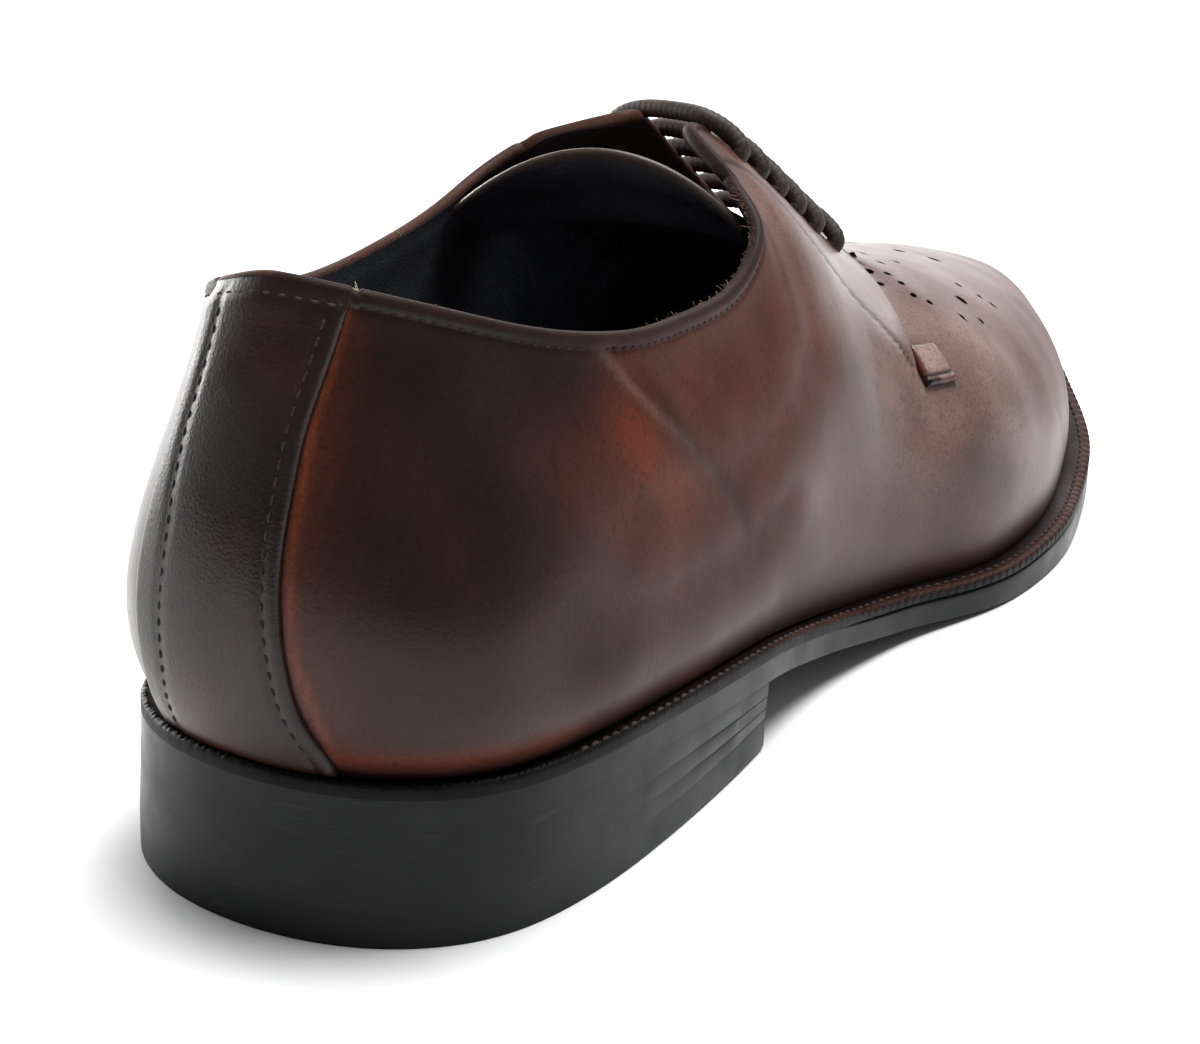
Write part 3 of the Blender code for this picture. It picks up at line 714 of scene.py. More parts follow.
def ring(sides, level, upright):
    """Points of a circle of radius one, spanned by two directions."""
    turns = 2 * math.pi * np.arange(sides) / sides
    return np.cos(turns)[:, None] * level + np.sin(turns)[:, None] * upright


# Angles between faces, in degrees, above which an edge is shown sharp
CRISP = 50.0
SOFT = 60.0
ALL_SMOOTH = 180.0


def make(name, shape, material, nodes=(), sharp=CRISP):
    """Turns a shape into a piece that stands for the named solids."""
    mesh = bpy.data.meshes.new(name)
    corners = (np.concatenate(shape.points) - SHIFT) * MM
    mesh.from_pydata(corners.tolist(), [], shape.faces)
    layer = mesh.color_attributes.new("tint", "FLOAT_COLOR", "POINT")
    finish = np.column_stack((np.concatenate(shape.tints), np.concatenate(shape.matts)))
    layer.data.foreach_set("color", finish.ravel())
    work = bmesh.new()
    work.from_mesh(mesh)
    bmesh.ops.remove_doubles(work, verts=work.verts, dist=MERGE * MM)
    bmesh.ops.dissolve_degenerate(work, edges=work.edges, dist=MERGE * MM)
    bmesh.ops.recalc_face_normals(work, faces=work.faces)
    work.to_mesh(mesh)
    work.free()
    mesh.polygons.foreach_set("use_smooth", np.ones(len(mesh.polygons), bool))
    mesh.set_sharp_from_angle(angle=math.radians(sharp))
    mesh.materials.append(material)
    piece = bpy.data.objects.new(name, mesh)
    bpy.context.scene.collection.objects.link(piece)
    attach(piece, "root")
    if nodes:
        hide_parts(*nodes)
    return piece


def put(tree, kind, inputs=None, **options):
    """Adds a shader node, sets its options and fills its inputs with values or links."""
    node = tree.nodes.new(kind)
    for key, value in options.items():
        setattr(node, key, value)
    for key, value in (inputs or {}).items():
        if isinstance(value, bpy.types.NodeSocket):
            tree.links.new(value, node.inputs[key])
        else:
            node.inputs[key].default_value = value
    return node


def mix_colours(tree, factor, first, second, blend="MIX"):
    """A colour mix node's result."""
    inputs = {0: factor, 6: first, 7: second}
    return put(tree, "ShaderNodeMix", inputs, data_type="RGBA", blend_type=blend).outputs[2]


def shaded(tree, tint, shade):
    """A colour multiplied by a shade."""
    return mix_colours(tree, 1.0, tint, shade, "MULTIPLY")


def calculate(tree, operation, first, second=0.0):
    """A maths node's result."""
    return put(tree, "ShaderNodeMath", {0: first, 1: second}, operation=operation).outputs[0]


def spread(tree, value, low, high, to_low=0.0, to_high=1.0):
    """A value brought from one range to another."""
    inputs = {"Value": value, "From Min": low, "From Max": high, "To Min": to_low, "To Max": to_high}
    return put(tree, "ShaderNodeMapRange", inputs).outputs["Result"]


def place_in_mm(tree, stretch=(1.0, 1.0, 1.0)):
    """The place on the piece in millimetres, stretched for streaks."""
    source = put(tree, "ShaderNodeTexCoord").outputs["Object"]
    scale = tuple(value / MM for value in stretch)
    return put(tree, "ShaderNodeMapping", {"Vector": source, "Scale": scale}).outputs["Vector"]


def noise(tree, place, scale, detail=3.0):
    """Noise from 0 to 1."""
    inputs = {"Vector": place, "Scale": scale, "Detail": detail}
    return put(tree, "ShaderNodeTexNoise", inputs).outputs["Fac"]


FLOAT = "NodeSocketFloat"
COLOUR = "NodeSocketColor"


def new_group(name, inputs, outputs):
    """An empty shader group with named sockets."""
    tree = bpy.data.node_groups.new(name, "ShaderNodeTree")
    for label, kind, value in inputs:
        tree.interface.new_socket(name=label, in_out="INPUT", socket_type=kind).default_value = value
    for label, kind in outputs:
        tree.interface.new_socket(name=label, in_out="OUTPUT", socket_type=kind)
    return tree, put(tree, "NodeGroupInput").outputs, put(tree, "NodeGroupOutput").inputs


# Shares of pebbles and of fine noise in the height of the grain, and shades of uneven dye: dark and light
# clouds, dark pores and the lighter leather between them
PEBBLE_HEIGHT = 0.5
FINE_HEIGHT = 0.35
DARK_CLOUD = (0.42, 0.36, 0.34, 1.0)
LIGHT_CLOUD = (1.45, 1.4, 1.35, 1.0)
DARK_PORE = (0.55, 0.52, 0.52, 1.0)
LIGHT_LAND = (1.4, 1.36, 1.34, 1.0)


def grain_group():
    """Fine pebbled grain of calf with soft pulls, as a height."""
    tree, given, result = new_group("grain", (("Scale", FLOAT, 1.6),), (("Height", FLOAT),))
    place = place_in_mm(tree)
    cells = put(tree, "ShaderNodeTexVoronoi", {"Vector": place, "Scale": given["Scale"]}).outputs["Distance"]
    fine = noise(tree, place, scale=3.1, detail=4.0)
    soft = noise(tree, place, scale=0.22, detail=2.0)
    pebbles = calculate(tree, "MULTIPLY", cells, PEBBLE_HEIGHT)
    height = calculate(tree, "ADD", pebbles, calculate(tree, "MULTIPLY", fine, FINE_HEIGHT))
    tree.links.new(calculate(tree, "ADD", height, soft), result["Height"])
    return tree


def mottle_group():
    """Uneven hand-dyed colour: cloudy lights and darks, fine pores and small specks."""
    inputs = (("Colour", COLOUR, (1, 1, 1, 1)), ("Cloud", FLOAT, 0.6), ("Specks", FLOAT, 0.4))
    tree, given, result = new_group("mottle", inputs, (("Colour", COLOUR),))
    place = place_in_mm(tree)
    cloud = spread(tree, noise(tree, place, scale=0.09, detail=5.0), low=0.3, high=0.7)
    dark = shaded(tree, given["Colour"], DARK_CLOUD)
    light = shaded(tree, given["Colour"], LIGHT_CLOUD)
    clouded = mix_colours(tree, cloud, dark, light)
    broad = mix_colours(tree, given["Cloud"], given["Colour"], clouded)
    fine = spread(tree, noise(tree, place, scale=1.9, detail=6.0), low=0.32, high=0.68)
    pores = shaded(tree, broad, DARK_PORE)
    lands = shaded(tree, broad, LIGHT_LAND)
    pored = mix_colours(tree, fine, pores, lands)
    base = mix_colours(tree, given["Specks"], broad, pored)
    specks = spread(tree, noise(tree, place, scale=0.8, detail=4.0), low=0.56, high=0.70)
    amount = calculate(tree, "MULTIPLY", specks, given["Specks"])
    tree.links.new(mix_colours(tree, amount, base, dark), result["Colour"])
    return tree


def smear_group():
    """Roughness that wanders where hands and polish have been."""
    inputs = (("Low", FLOAT, 0.25), ("High", FLOAT, 0.45), ("Scale", FLOAT, 0.07))
    tree, given, result = new_group("smear", inputs, (("Roughness", FLOAT),))
    place = place_in_mm(tree)
    wander = noise(tree, place, given["Scale"], detail=4.0)
    value = spread(tree, wander, low=0.3, high=0.7, to_low=given["Low"], to_high=given["High"])
    tree.links.new(value, result["Roughness"])
    return tree


def nap_group():
    """Short raised fibres of suede and thread, as a height and a shade."""
    tree, given, result = new_group("nap", (("Scale", FLOAT, 2.0),), (("Height", FLOAT), ("Shade", FLOAT)))
    place = place_in_mm(tree)
    fine = noise(tree, place, given["Scale"], detail=6.0)
    broad = noise(tree, place, scale=0.12, detail=2.0)
    tree.links.new(fine, result["Height"])
    tufts = spread(tree, fine, low=0.3, high=0.7, to_low=0.6, to_high=1.5)
    patches = spread(tree, broad, low=0.3, high=0.7, to_low=0.7, to_high=1.3)
    tree.links.new(calculate(tree, "MULTIPLY", tufts, patches), result["Shade"])
    return tree


def scuff_group():
    """Thin level scratches and rubbed spots, as a mask."""
    tree, given, result = new_group("scuff", (("Amount", FLOAT, 0.5),), (("Mask", FLOAT),))
    streaks = noise(tree, place_in_mm(tree, stretch=(0.12, 0.12, 1.6)), scale=0.9, detail=5.0)
    spots = noise(tree, place_in_mm(tree), scale=0.05, detail=3.0)
    lines = spread(tree, streaks, low=0.60, high=0.74)
    worn = spread(tree, spots, low=0.42, high=0.66)
    mask = calculate(tree, "MULTIPLY", calculate(tree, "MULTIPLY", lines, worn), given["Amount"])
    tree.links.new(mask, result["Mask"])
    return tree


GROUPS = {
    "grain": grain_group(),
    "mottle": mottle_group(),
    "smear": smear_group(),
    "nap": nap_group(),
    "scuff": scuff_group(),
}


def use_group(tree, name, inputs):
    """A group node with its inputs filled."""
    return put(tree, "ShaderNodeGroup", inputs, node_tree=GROUPS[name]).outputs


def new_material(name):
    """A material's tree and its main shader."""
    material = bpy.data.materials.new(name)
    material.use_nodes = True
    return material, material.node_tree, material.node_tree.nodes["Principled BSDF"]


def raise_surface(tree, shader, height, strength, distance):
    """Links a height to the shader's normal."""
    inputs = {"Height": height, "Strength": strength, "Distance": distance * MM}
    tree.links.new(put(tree, "ShaderNodeBump", inputs).outputs["Normal"], shader.inputs["Normal"])


def painted_finish(tree):
    """Outputs for the corner colours, with mattness as their alpha."""
    return put(tree, "ShaderNodeAttribute", attribute_name="tint").outputs


# Roughness added where the leather is fully matt and where an edge is scratched, roughness of the wax
# on the leather, depths in millimetres of grain, fibres and scratches, and gloss of fibres and edges
MATT_ROUGHNESS = 0.5
SCUFF_ROUGHNESS = 0.2
WAX_ROUGHNESS = 0.28
GRAIN_DEPTH = 0.12
FIBRE_DEPTH = 0.2
SCRATCH_DEPTH = 0.12
SCRATCH_STRENGTH = 0.12
FIBRE_SPECULAR = 0.25
EDGE_SPECULAR = 0.18


def leather(name, cloud, specks, low, high, coat, specular, grain_scale, grain, matt=False):
    """Polished calf: painted corner colours, clouded, with grain, wandering gloss and matt places."""
    material, tree, shader = new_material(name)
    finish = painted_finish(tree)
    paint = use_group(tree, "mottle", {"Colour": finish["Color"], "Cloud": cloud, "Specks": specks})
    gloss = use_group(tree, "smear", {"Low": low, "High": high})
    height = use_group(tree, "grain", {"Scale": grain_scale})["Height"]
    tree.links.new(paint["Colour"], shader.inputs["Base Color"])
    roughness = gloss["Roughness"]
    shader.inputs["Specular IOR Level"].default_value = specular
    shader.inputs["Coat Weight"].default_value = coat
    shader.inputs["Coat Roughness"].default_value = WAX_ROUGHNESS
    if matt:
        dull = calculate(tree, "MULTIPLY", finish["Alpha"], MATT_ROUGHNESS)
        roughness = calculate(tree, "ADD", roughness, dull)
        polished = calculate(tree, "SUBTRACT", 1.0, finish["Alpha"])
        tree.links.new(calculate(tree, "MULTIPLY", polished, coat), shader.inputs["Coat Weight"])
    tree.links.new(roughness, shader.inputs["Roughness"])
    raise_surface(tree, shader, height, grain, GRAIN_DEPTH)
    return material


def napped(name, roughness, scale, strength):
    """Suede, felt or thread: matt with short fibres."""
    material, tree, shader = new_material(name)
    tint = painted_finish(tree)["Color"]
    fibres = use_group(tree, "nap", {"Scale": scale})
    shade = put(tree, "ShaderNodeCombineColor", {0: fibres["Shade"], 1: fibres["Shade"], 2: fibres["Shade"]})
    tree.links.new(shaded(tree, tint, shade.outputs[0]), shader.inputs["Base Color"])
    shader.inputs["Roughness"].default_value = roughness
    shader.inputs["Specular IOR Level"].default_value = FIBRE_SPECULAR
    raise_surface(tree, shader, fibres["Height"], strength, FIBRE_DEPTH)
    return material


def dressed_edge(name, low, high, amount):
    """Blacked and waxed sole edge with level scratches."""
    material, tree, shader = new_material(name)
    tint = painted_finish(tree)["Color"]
    scuffs = use_group(tree, "scuff", {"Amount": amount})["Mask"]
    gloss = use_group(tree, "smear", {"Low": low, "High": high, "Scale": 0.11})["Roughness"]
    height = use_group(tree, "nap", {"Scale": 0.9})["Height"]
    tree.links.new(mix_colours(tree, scuffs, tint, (*COLOURS["worn_edge"], 1.0)), shader.inputs["Base Color"])
    dull = calculate(tree, "MULTIPLY", scuffs, SCUFF_ROUGHNESS)
    tree.links.new(calculate(tree, "ADD", gloss, dull), shader.inputs["Roughness"])
    shader.inputs["Specular IOR Level"].default_value = EDGE_SPECULAR
    raise_surface(tree, shader, height, SCRATCH_STRENGTH, SCRATCH_DEPTH)
    return material


CALF = leather(
    "burnished_calf", cloud=0.45, specks=0.5, low=0.23, high=0.38, coat=0.28, specular=0.13,
    grain_scale=1.8, grain=0.45, matt=True,
)
STRIP_CALF = leather(
    "strip_calf", cloud=0.55, specks=0.4, low=0.24, high=0.4, coat=0.08, specular=0.3,
    grain_scale=1.9, grain=0.45,
)
WELT_LEATHER = leather(
    "welt_leather", cloud=0.6, specks=0.7, low=0.38, high=0.6, coat=0.0, specular=0.1,
    grain_scale=2.2, grain=0.6,
)
LINING = napped("lining_suede", roughness=0.95, scale=2.4, strength=0.6)
THREAD = napped("thread", roughness=0.7, scale=5.0, strength=0.4)
CORD = napped("waxed_cord", roughness=0.55, scale=4.0, strength=0.35)
EDGE = dressed_edge("edge_dressing", low=0.28, high=0.46, amount=0.25)
RUBBER = dressed_edge("top_lift_rubber", low=0.32, high=0.5, amount=0.3)

# Colours painted on the upper, patina together with painted sheen, highlight and shade: finish, reach in
# millimetres, strength, and a line of (row, share)
PATINA_AND_PAINTED_LIGHT = (
    ("oxblood", 30.0, 0.9, ((0.9, 0.9), (1.2, 0.5), (1.6, 0.2))),
    ("oxblood", 18.0, 0.8, ((2.6, 0.9), (2.9, 0.6), (3.0, 0.3))),
    ("oxblood", 12.0, 0.6, ((2.2, 0.2), (3.5, 0.18), (5.0, 0.25))),
    ("rust", 22.0, 0.6, ((4.6, 0.75), (5.4, 0.68), (6.2, 0.8), (7.5, 0.75))),
    ("espresso", 10.0, 0.9, ((1.25, 0.99), (1.7, 0.9), (2.1, 0.75), (2.35, 0.55))),
    ("espresso", 8.0, 0.85, ((2.5, 0.98), (3.0, 0.93))),
    ("espresso", 9.0, 0.75, ((1.3, 0.55), (1.6, 0.4), (1.9, 0.25))),
    ("orange", 5.0, 0.9, ((3.58, 0.79), (3.72, 0.72), (3.95, 0.6))),
    ("rust", 7.0, 0.5, ((3.1, 0.66), (3.5, 0.52), (4.0, 0.42))),
    # Painted highlight along the crease's ridge
    ("painted_sheen", 0.9, 0.3, ((3.36, 0.97), (3.6, 0.88), (3.96, 0.77), (4.3, 0.66))),
    # Painted shade along the crease's trough
    ("espresso", 2.4, 0.5, ((4.0, 0.78), (4.3, 0.66), (4.6, 0.55), (4.85, 0.44), (5.0, 0.36))),
    ("rust", 2.6, 0.35, ((0.95, 0.93), (0.68, 0.7), (0.58, 0.5), (0.66, 0.3), (0.92, 0.08))),
    ("amber", 0.8, 0.85, ((0.86, 0.97), (0.58, 0.75), (0.48, 0.5), (0.53, 0.3), (0.76, 0.06))),
    # Painted sheen on facing, vamp and toe, standing in for reflections of the bright surroundings
    ("painted_sheen", 12.0, 0.5, ((8.0, 0.75), (8.6, 0.64), (9.6, 0.55), (10.4, 0.42))),
    ("painted_sheen", 18.0, 0.9, ((10.9, 0.55), (11.6, 0.5), (12.4, 0.46))),
    ("painted_sheen", 18.0, 0.4, ((13.0, 0.6), (14.0, 0.5), (15.5, 0.45), (17.0, 0.45))),
    ("oxblood", 7.0, 0.5, ((8.9, 0.42), (9.6, 0.36))),
    ("espresso", 5.0, 0.4, ((11.7, 0.24), (12.0, 0.19), (12.3, 0.16))),
    # Painted shade along the foot of the upper, where it tucks in against the welt
    ("espresso", 1.8, 0.9, ((0.0, 0.0), (2.0, 0.0), (4.0, 0.0))),
    ("espresso", 5.2, 0.9, ((4.8, 0.0), (8.0, 0.0), (10.0, 0.0), (15.0, 0.0), (20.0, 0.0))),
    ("oxblood", 4.5, 0.5, ((0.0, 0.04), (5.0, 0.05), (10.0, 0.07), (15.0, 0.08), (20.0, 0.08))),
    ("orange", 2.0, 0.5, ((0.72, 0.055), (1.3, 0.06), (2.2, 0.055), (3.0, 0.05))),
    ("espresso", 1.5, 0.6, ((0.0, 0.985), (2.5, 0.985), (5.0, 0.985), (7.5, 0.985))),
    ("espresso", 4.0, 0.6, ((7.0, 0.99), (7.6, 0.98), (8.2, 0.98), (9.0, 0.98), (10.8, 0.98))),
)

# Dull places of the upper: reach in millimetres, strength, and a line of (row, share)
MATT = (
    (20.0, 0.9, ((3.0, 0.85), (4.2, 0.8), (5.2, 0.75), (6.2, 0.75), (7.2, 0.8))),
    (12.0, 0.8, ((3.6, 0.5), (5.2, 0.48), (6.5, 0.45), (8.0, 0.45))),
    (5.0, 1.0, ((0.0, 0.0), (5.0, 0.0), (10.0, 0.0), (15.0, 0.0), (20.0, 0.0))),
    (18.0, 0.6, ((13.0, 0.6), (14.0, 0.45), (15.5, 0.4), (17.0, 0.4))),
    (10.0, 0.7, ((3.0, 0.25), (4.5, 0.25), (6.0, 0.28))),
)

# Seam of the facing panel and creases of the quarter as lines of (row, share)
FACING_SEAM = (
    (7.0, 1.0), (7.5, 0.93), (8.2, 0.83), (9.0, 0.73),
    (9.72, 0.67), (10.36, 0.63), (10.72, 0.58), (10.9, 0.53),
)
CREASE_RIDGE = (
    (3.2, 1.0), (3.36, 0.97), (3.6, 0.88), (3.96, 0.77), (4.36, 0.63), (4.86, 0.42), (4.98, 0.34),
)
CREASE_TROUGH = (
    (3.4, 1.0), (3.5, 0.97), (3.76, 0.86), (4.14, 0.72), (4.54, 0.57), (4.96, 0.38), (5.08, 0.3),
)
# Relief of the upper: a line of (row, share), half width, height, and share of the line that fades at
# each end
RELIEF = (
    (FACING_SEAM, 0.45, -0.3, 0.02),
    (CREASE_RIDGE, 1.5, 0.5, 0.35),
    (CREASE_TROUGH, 1.6, -0.55, 0.35),
    (((3.8, 0.9), (4.05, 0.82), (4.3, 0.74)), 0.8, 0.2, 0.45),
    (((3.95, 0.92), (4.25, 0.83), (4.5, 0.75)), 0.9, -0.2, 0.45),
    (((4.2, 0.94), (4.6, 0.75), (5.1, 0.54)), 3.0, 0.35, 0.45),
    (((11.0, 0.42), (11.8, 0.26), (12.5, 0.16)), 3.2, -0.4, 0.45),
)
# Notches of the rim where seams end: row, depth, half width
NOTCHES = {
    OUTER: ((7.0, 1.6, 1.1), (0.97, 0.7, 0.4)),
    INNER: ((7.0, 1.6, 1.1), (1.05, 0.7, 0.4)),
}
# Dark thread line along the seam
SEAM_DARK = 0.85
SEAM_REACH = 0.6
# Bead below the rim, fuller at the facing's top corner, and valley under the collar's stitches
BEAD_DROP = 0.8
BEAD_WIDTH = 0.9
BEAD_HEIGHT = 0.16
CORNER_ROW = 7.6
CORNER_WIDTH = 0.5
CORNER_SWELL = 0.35
STITCH_DROP = 1.9
VALLEY_WIDTH = 0.55
VALLEY_DEPTH = 0.22
# Rim: crowding of columns towards it, reach of its drop, dark and dull edge, leather folded inwards, and
# roll over the fold, dark on the outer side and a lighter brown on the inner side, partly painted light
# where the roll catches light
RIM_CROWD = 1.5
RIM_FADE = 4.0
RIM_DARK = 0.7
RIM_DARK_REACH = 1.0
RIM_MATT = 0.8
RIM_MATT_REACH = 1.4
FOLD_DEPTH = 2.4
FOLD_EASE = 0.8
ROLL_DROP = 0.25
ROLL_RISE = 0.8
ROLL_END_ROWS = (THROAT_ROW - 0.6, THROAT_ROW)
ROLL_COLOUR_AND_LIGHT = {OUTER: "edge", INNER: "far_rim_brown_and_light"}
ROLL_TURNS = tuple(math.pi * k / 6 for k in range(1, 6))
# Columns of the leather's inside: every fourth, and all of those near the rim
RIM_COLUMNS = 16
INSIDE_COLUMNS = np.concatenate(
    (np.arange(0, WALL_STEPS - RIM_COLUMNS, 4), np.arange(WALL_STEPS - RIM_COLUMNS, WALL_STEPS + 1))
)


def painted(points, side):
    """Colours of the upper at an array of points: patina with painted sheen, highlight and shade."""
    tint = colour("brown")
    for finish, reach, strength, places in PATINA_AND_PAINTED_LIGHT:
        distance = line_distance(points, surface_line(side, places))
        tint = toward(tint, finish, strength * bump(distance, 0.0, reach))
    distance = line_distance(points, surface_line(side, FACING_SEAM))
    return toward(tint, "black", SEAM_DARK * bump(distance, 0.0, SEAM_REACH))


def dulled(points, side):
    """Mattness of the upper at an array of points."""
    matt = np.zeros(points.shape[:-1])
    for reach, strength, places in MATT:
        distance = line_distance(points, surface_line(side, places))
        matt = np.maximum(matt, strength * bump(distance, 0.0, reach))
    return matt


def upper_surface(side):
    """Rows of the upper with points, normals, facing rise, and distance from the rim."""
    shares = 1 - (1 - np.linspace(0.0, 1.0, WALL_STEPS + 1)) ** RIM_CROWD
    points, normals, rises = surface(side, GRID_ROWS[:, None], shares)
    lengths = arc_lengths(points)
    return GRID_ROWS, points, normals, rises, lengths[:, -1:] - lengths


def near_rim(from_rim):
    """From 1 at the rim to 0 at RIM_FADE below it."""
    return 1 - smooth_step(0.0, RIM_FADE, from_rim)


def upper_relief(side, rows, base, from_rim):
    """Height of bead, valley, seam and creases on one side of the upper."""
    open_rows = (rows <= FRONT_ROW)[:, None]
    bead = BEAD_HEIGHT + CORNER_SWELL * bump(rows, CORNER_ROW, CORNER_WIDTH)[:, None]
    valley = VALLEY_DEPTH * bump(from_rim, STITCH_DROP, VALLEY_WIDTH)
    relief = open_rows * (bead * bump(from_rim, BEAD_DROP, BEAD_WIDTH) - valley)
    loose = 1 - near_rim(from_rim) + open_rows * near_rim(from_rim)
    for places, width, tall, fade in RELIEF:
        distance, place = line_place(base, surface_line(side, places))
        ends = smooth_step(0.0, fade, place) * smooth_step(0.0, fade, 1 - place)
        relief = relief + loose * tall * ends * bump(distance, 0.0, width)
    return relief


def rim_drop(side, rows, top, from_rim):
    """How far the leather near the rim is lowered, for its roll and in notches where seams end."""
    drop = (rows <= FRONT_ROW)[:, None] * ROLL_DROP * near_rim(from_rim)
    for row, depth, width in NOTCHES[side]:
        away = np.linalg.norm(top - top_point(row, side), axis=-1)
        drop = drop + depth * bump(away, 0.0, width)[:, None] * near_rim(from_rim)
    return drop


def roll_rim(shape, side, rows, rise, edges, numbers):
    """Leather rolled over the rim between its two edges, given as points and as numbers of corners."""
    height = ROLL_RISE * (1 - smooth_step(*ROLL_END_ROWS, rows))
    rings = [numbers[0]]
    for turn in ROLL_TURNS:
        arch = mix(*edges, (1 - math.cos(turn)) / 2) + rise * (height * math.sin(turn))[:, None]
        # The inner side's roll takes a lighter brown, partly painted light where the roll catches light
        rings.append(shape.add(arch, colour(ROLL_COLOUR_AND_LIGHT[side]), RIM_MATT))
    rings.append(numbers[1])
    shape.skin(np.stack(rings))


def build_upper():
    """The outer leather, a closed skin with rolled rim, seam and creases, and the lining inside it."""
    shape = Shape()
    lining = Shape()
    for side in SIDES:
        rows, points, normals, rises, from_rim = upper_surface(side)
        open_rows = (rows <= FRONT_ROW)[:, None]
        base = points + normals * rises[..., None]
        rise = unit(points[:, -1] - points[:, -4])
        sunk = rise[:, None] * rim_drop(side, rows, points[:, -1], from_rim)[..., None]
        relief = upper_relief(side, rows, base, from_rim)
        outside = points + normals * (rises + relief)[..., None] - sunk
        fold = open_rows * (1 - smooth_step(FOLD_DEPTH - FOLD_EASE, FOLD_DEPTH, from_rim))
        inside = points - normals * (SKIN + (WALL - SKIN) * fold)[..., None] - sunk
        rim_dark = RIM_DARK * open_rows * bump(from_rim, 0.0, RIM_DARK_REACH)
        rim_matt = RIM_MATT * open_rows * bump(from_rim, 0.0, RIM_MATT_REACH)
        tint = toward(painted(base, side), "edge", rim_dark)
        matt = np.maximum(dulled(base, side), rim_matt)
        a, b = shape.skins(outside, inside[:, INSIDE_COLUMNS], tint, colour("lining"), matt)
        shape.bridge(a[:, 0], b[:, 0])
        opened = slice(int(np.searchsorted(rows, THROAT_ROW)) + 1)
        edges = (outside[opened, -1], inside[opened, -1])
        roll_rim(shape, side, rows[opened], rise[opened], edges, (a[opened, -1], b[opened, -1]))
        build_lining(lining, rows, points, normals, from_rim)
    skin = make("upper_leather", shape, CALF, ("upper",))
    make("lining", lining, LINING, (), SOFT)
    return skin


# Lining: its gap to the leather, pile and face, where it is painted lighter and greyer deep in the shoe as
# painted light, and the painted shade on the flap beside the tongue
LINING_GAP = 0.05
LINING_PILE = 0.12
LINING_FACE = 0.07
LINING_EASE = 0.6
DEEP_LIGHT_ROWS = (5.0, 9.0)
SHADED_FLAP_ROWS = (5.0, 6.5)
SHADED_FLAP_REACH = (12.0, 30.0)
FLAP_PAINTED_SHADE = 0.8


def build_lining(shape, rows, points, normals, from_rim):
    """Soft lining inside the leather, ending under its folded rim."""
    last = len(rows) - 1
    picked = np.append(np.arange(0, last, 2), last)
    rows = rows[picked]
    points = points[picked][:, ::2]
    normals = normals[picked][:, ::2]
    from_rim = from_rim[picked][:, ::2]
    open_rows = (rows <= FRONT_ROW)[:, None]
    fold = open_rows * (1 - smooth_step(FOLD_DEPTH - LINING_EASE, FOLD_DEPTH + LINING_EASE, from_rim))
    top = points - normals * (SKIN + LINING_GAP + (WALL - SKIN) * fold)[..., None]
    bottom = points - normals * (WALL + LINING_PILE * (1 - fold) + LINING_FACE)[..., None]
    # Painted light: the lining is made lighter and greyer deep in the shoe
    tint = toward(colour("lining"), "deep_lining_painted_light", smooth_step(*DEEP_LIGHT_ROWS, rows)[:, None])
    # Painted shade on the lining beside the tongue
    painted_flap_shade = smooth_step(*SHADED_FLAP_ROWS, rows)[:, None] * (1 - smooth_step(*SHADED_FLAP_REACH, from_rim))
    tint = tint * (1 - FLAP_PAINTED_SHADE * painted_flap_shade)[..., None]
    a, b = shape.skins(top, bottom, colour("lining"), tint)
    shape.bridge(a[:, 0], b[:, 0])
    open_count = int((rows <= THROAT_ROW).sum()) + 1
    shape.bridge(a[:open_count, -1], b[:open_count, -1])


# Punched toe decoration on the outer side and, mirrored, on the inner: radius, and places as (row, share)
HOLES = (
    (1.25, ((11.52, 0.91), (13.56, 0.64), (15.12, 0.93), (15.32, 0.84))),
    (0.65, (
        (13.56, 0.91), (13.2, 0.84), (13.8, 0.84), (12.36, 0.85), (11.4, 0.84), (12.2, 0.81), (12.0, 0.76),
        (12.24, 0.71), (14.24, 0.70), (14.36, 0.64), (14.44, 0.60), (12.84, 0.60), (13.36, 0.56),
    )),
)
EYELET_RADIUS = 1.45
# Punch: sides, reach above and below the leather, and a direction that none of the holes faces
PUNCH_SIDES = 14
PUNCH_ABOVE = 1.5
PUNCH_BELOW = 0.6
PUNCH_TURN = (0.0, 1.0, 0.3)
PUNCHED_SHARP = 45.0
# Painted shade of a hole: how far past its radius, and above and below the surface
HOLE_SHADE_RIM = 1.05
HOLE_SHADE_REACH = 4.0


def punch(piece):
    """Cuts the toe holes and the lace holes out of the leather."""
    shape = Shape()
    eyelets = [(row, EYELET_SHARE) for row in EYELET_ROWS]
    kinds = (*HOLES, (EYELET_RADIUS, eyelets))
    places = [(row, share, radius) for radius, group in kinds for row, share in group]
    holes = []
    for side in SIDES:
        for row, share, radius in places:
            point, normal = on_upper(side, row, share)
            level = unit(np.cross(normal, PUNCH_TURN))
            circle = radius * ring(PUNCH_SIDES, level, np.cross(normal, level))
            drop = facing_rise(row, (share,))[0] + SKIN + PUNCH_BELOW
            ends = (point + normal * PUNCH_ABOVE, point - normal * drop)
            shape.rod(np.stack([end + circle for end in ends]), colour("espresso"))
            holes.append((point, normal, radius))
    cutter = make("punch", shape, CALF)
    cut = piece.modifiers.new("punch", "BOOLEAN")
    cut.operation = "DIFFERENCE"
    cut.solver = "MANIFOLD"
    cut.object = cutter
    graph = bpy.context.evaluated_depsgraph_get()
    cut_mesh = bpy.data.meshes.new_from_object(piece.evaluated_get(graph))
    piece.modifiers.clear()
    piece.data = cut_mesh
    cut_mesh.set_sharp_from_angle(angle=math.radians(PUNCHED_SHARP))
    bpy.data.objects.remove(cutter, do_unlink=True)
    paint_hole_shade(cut_mesh, holes)


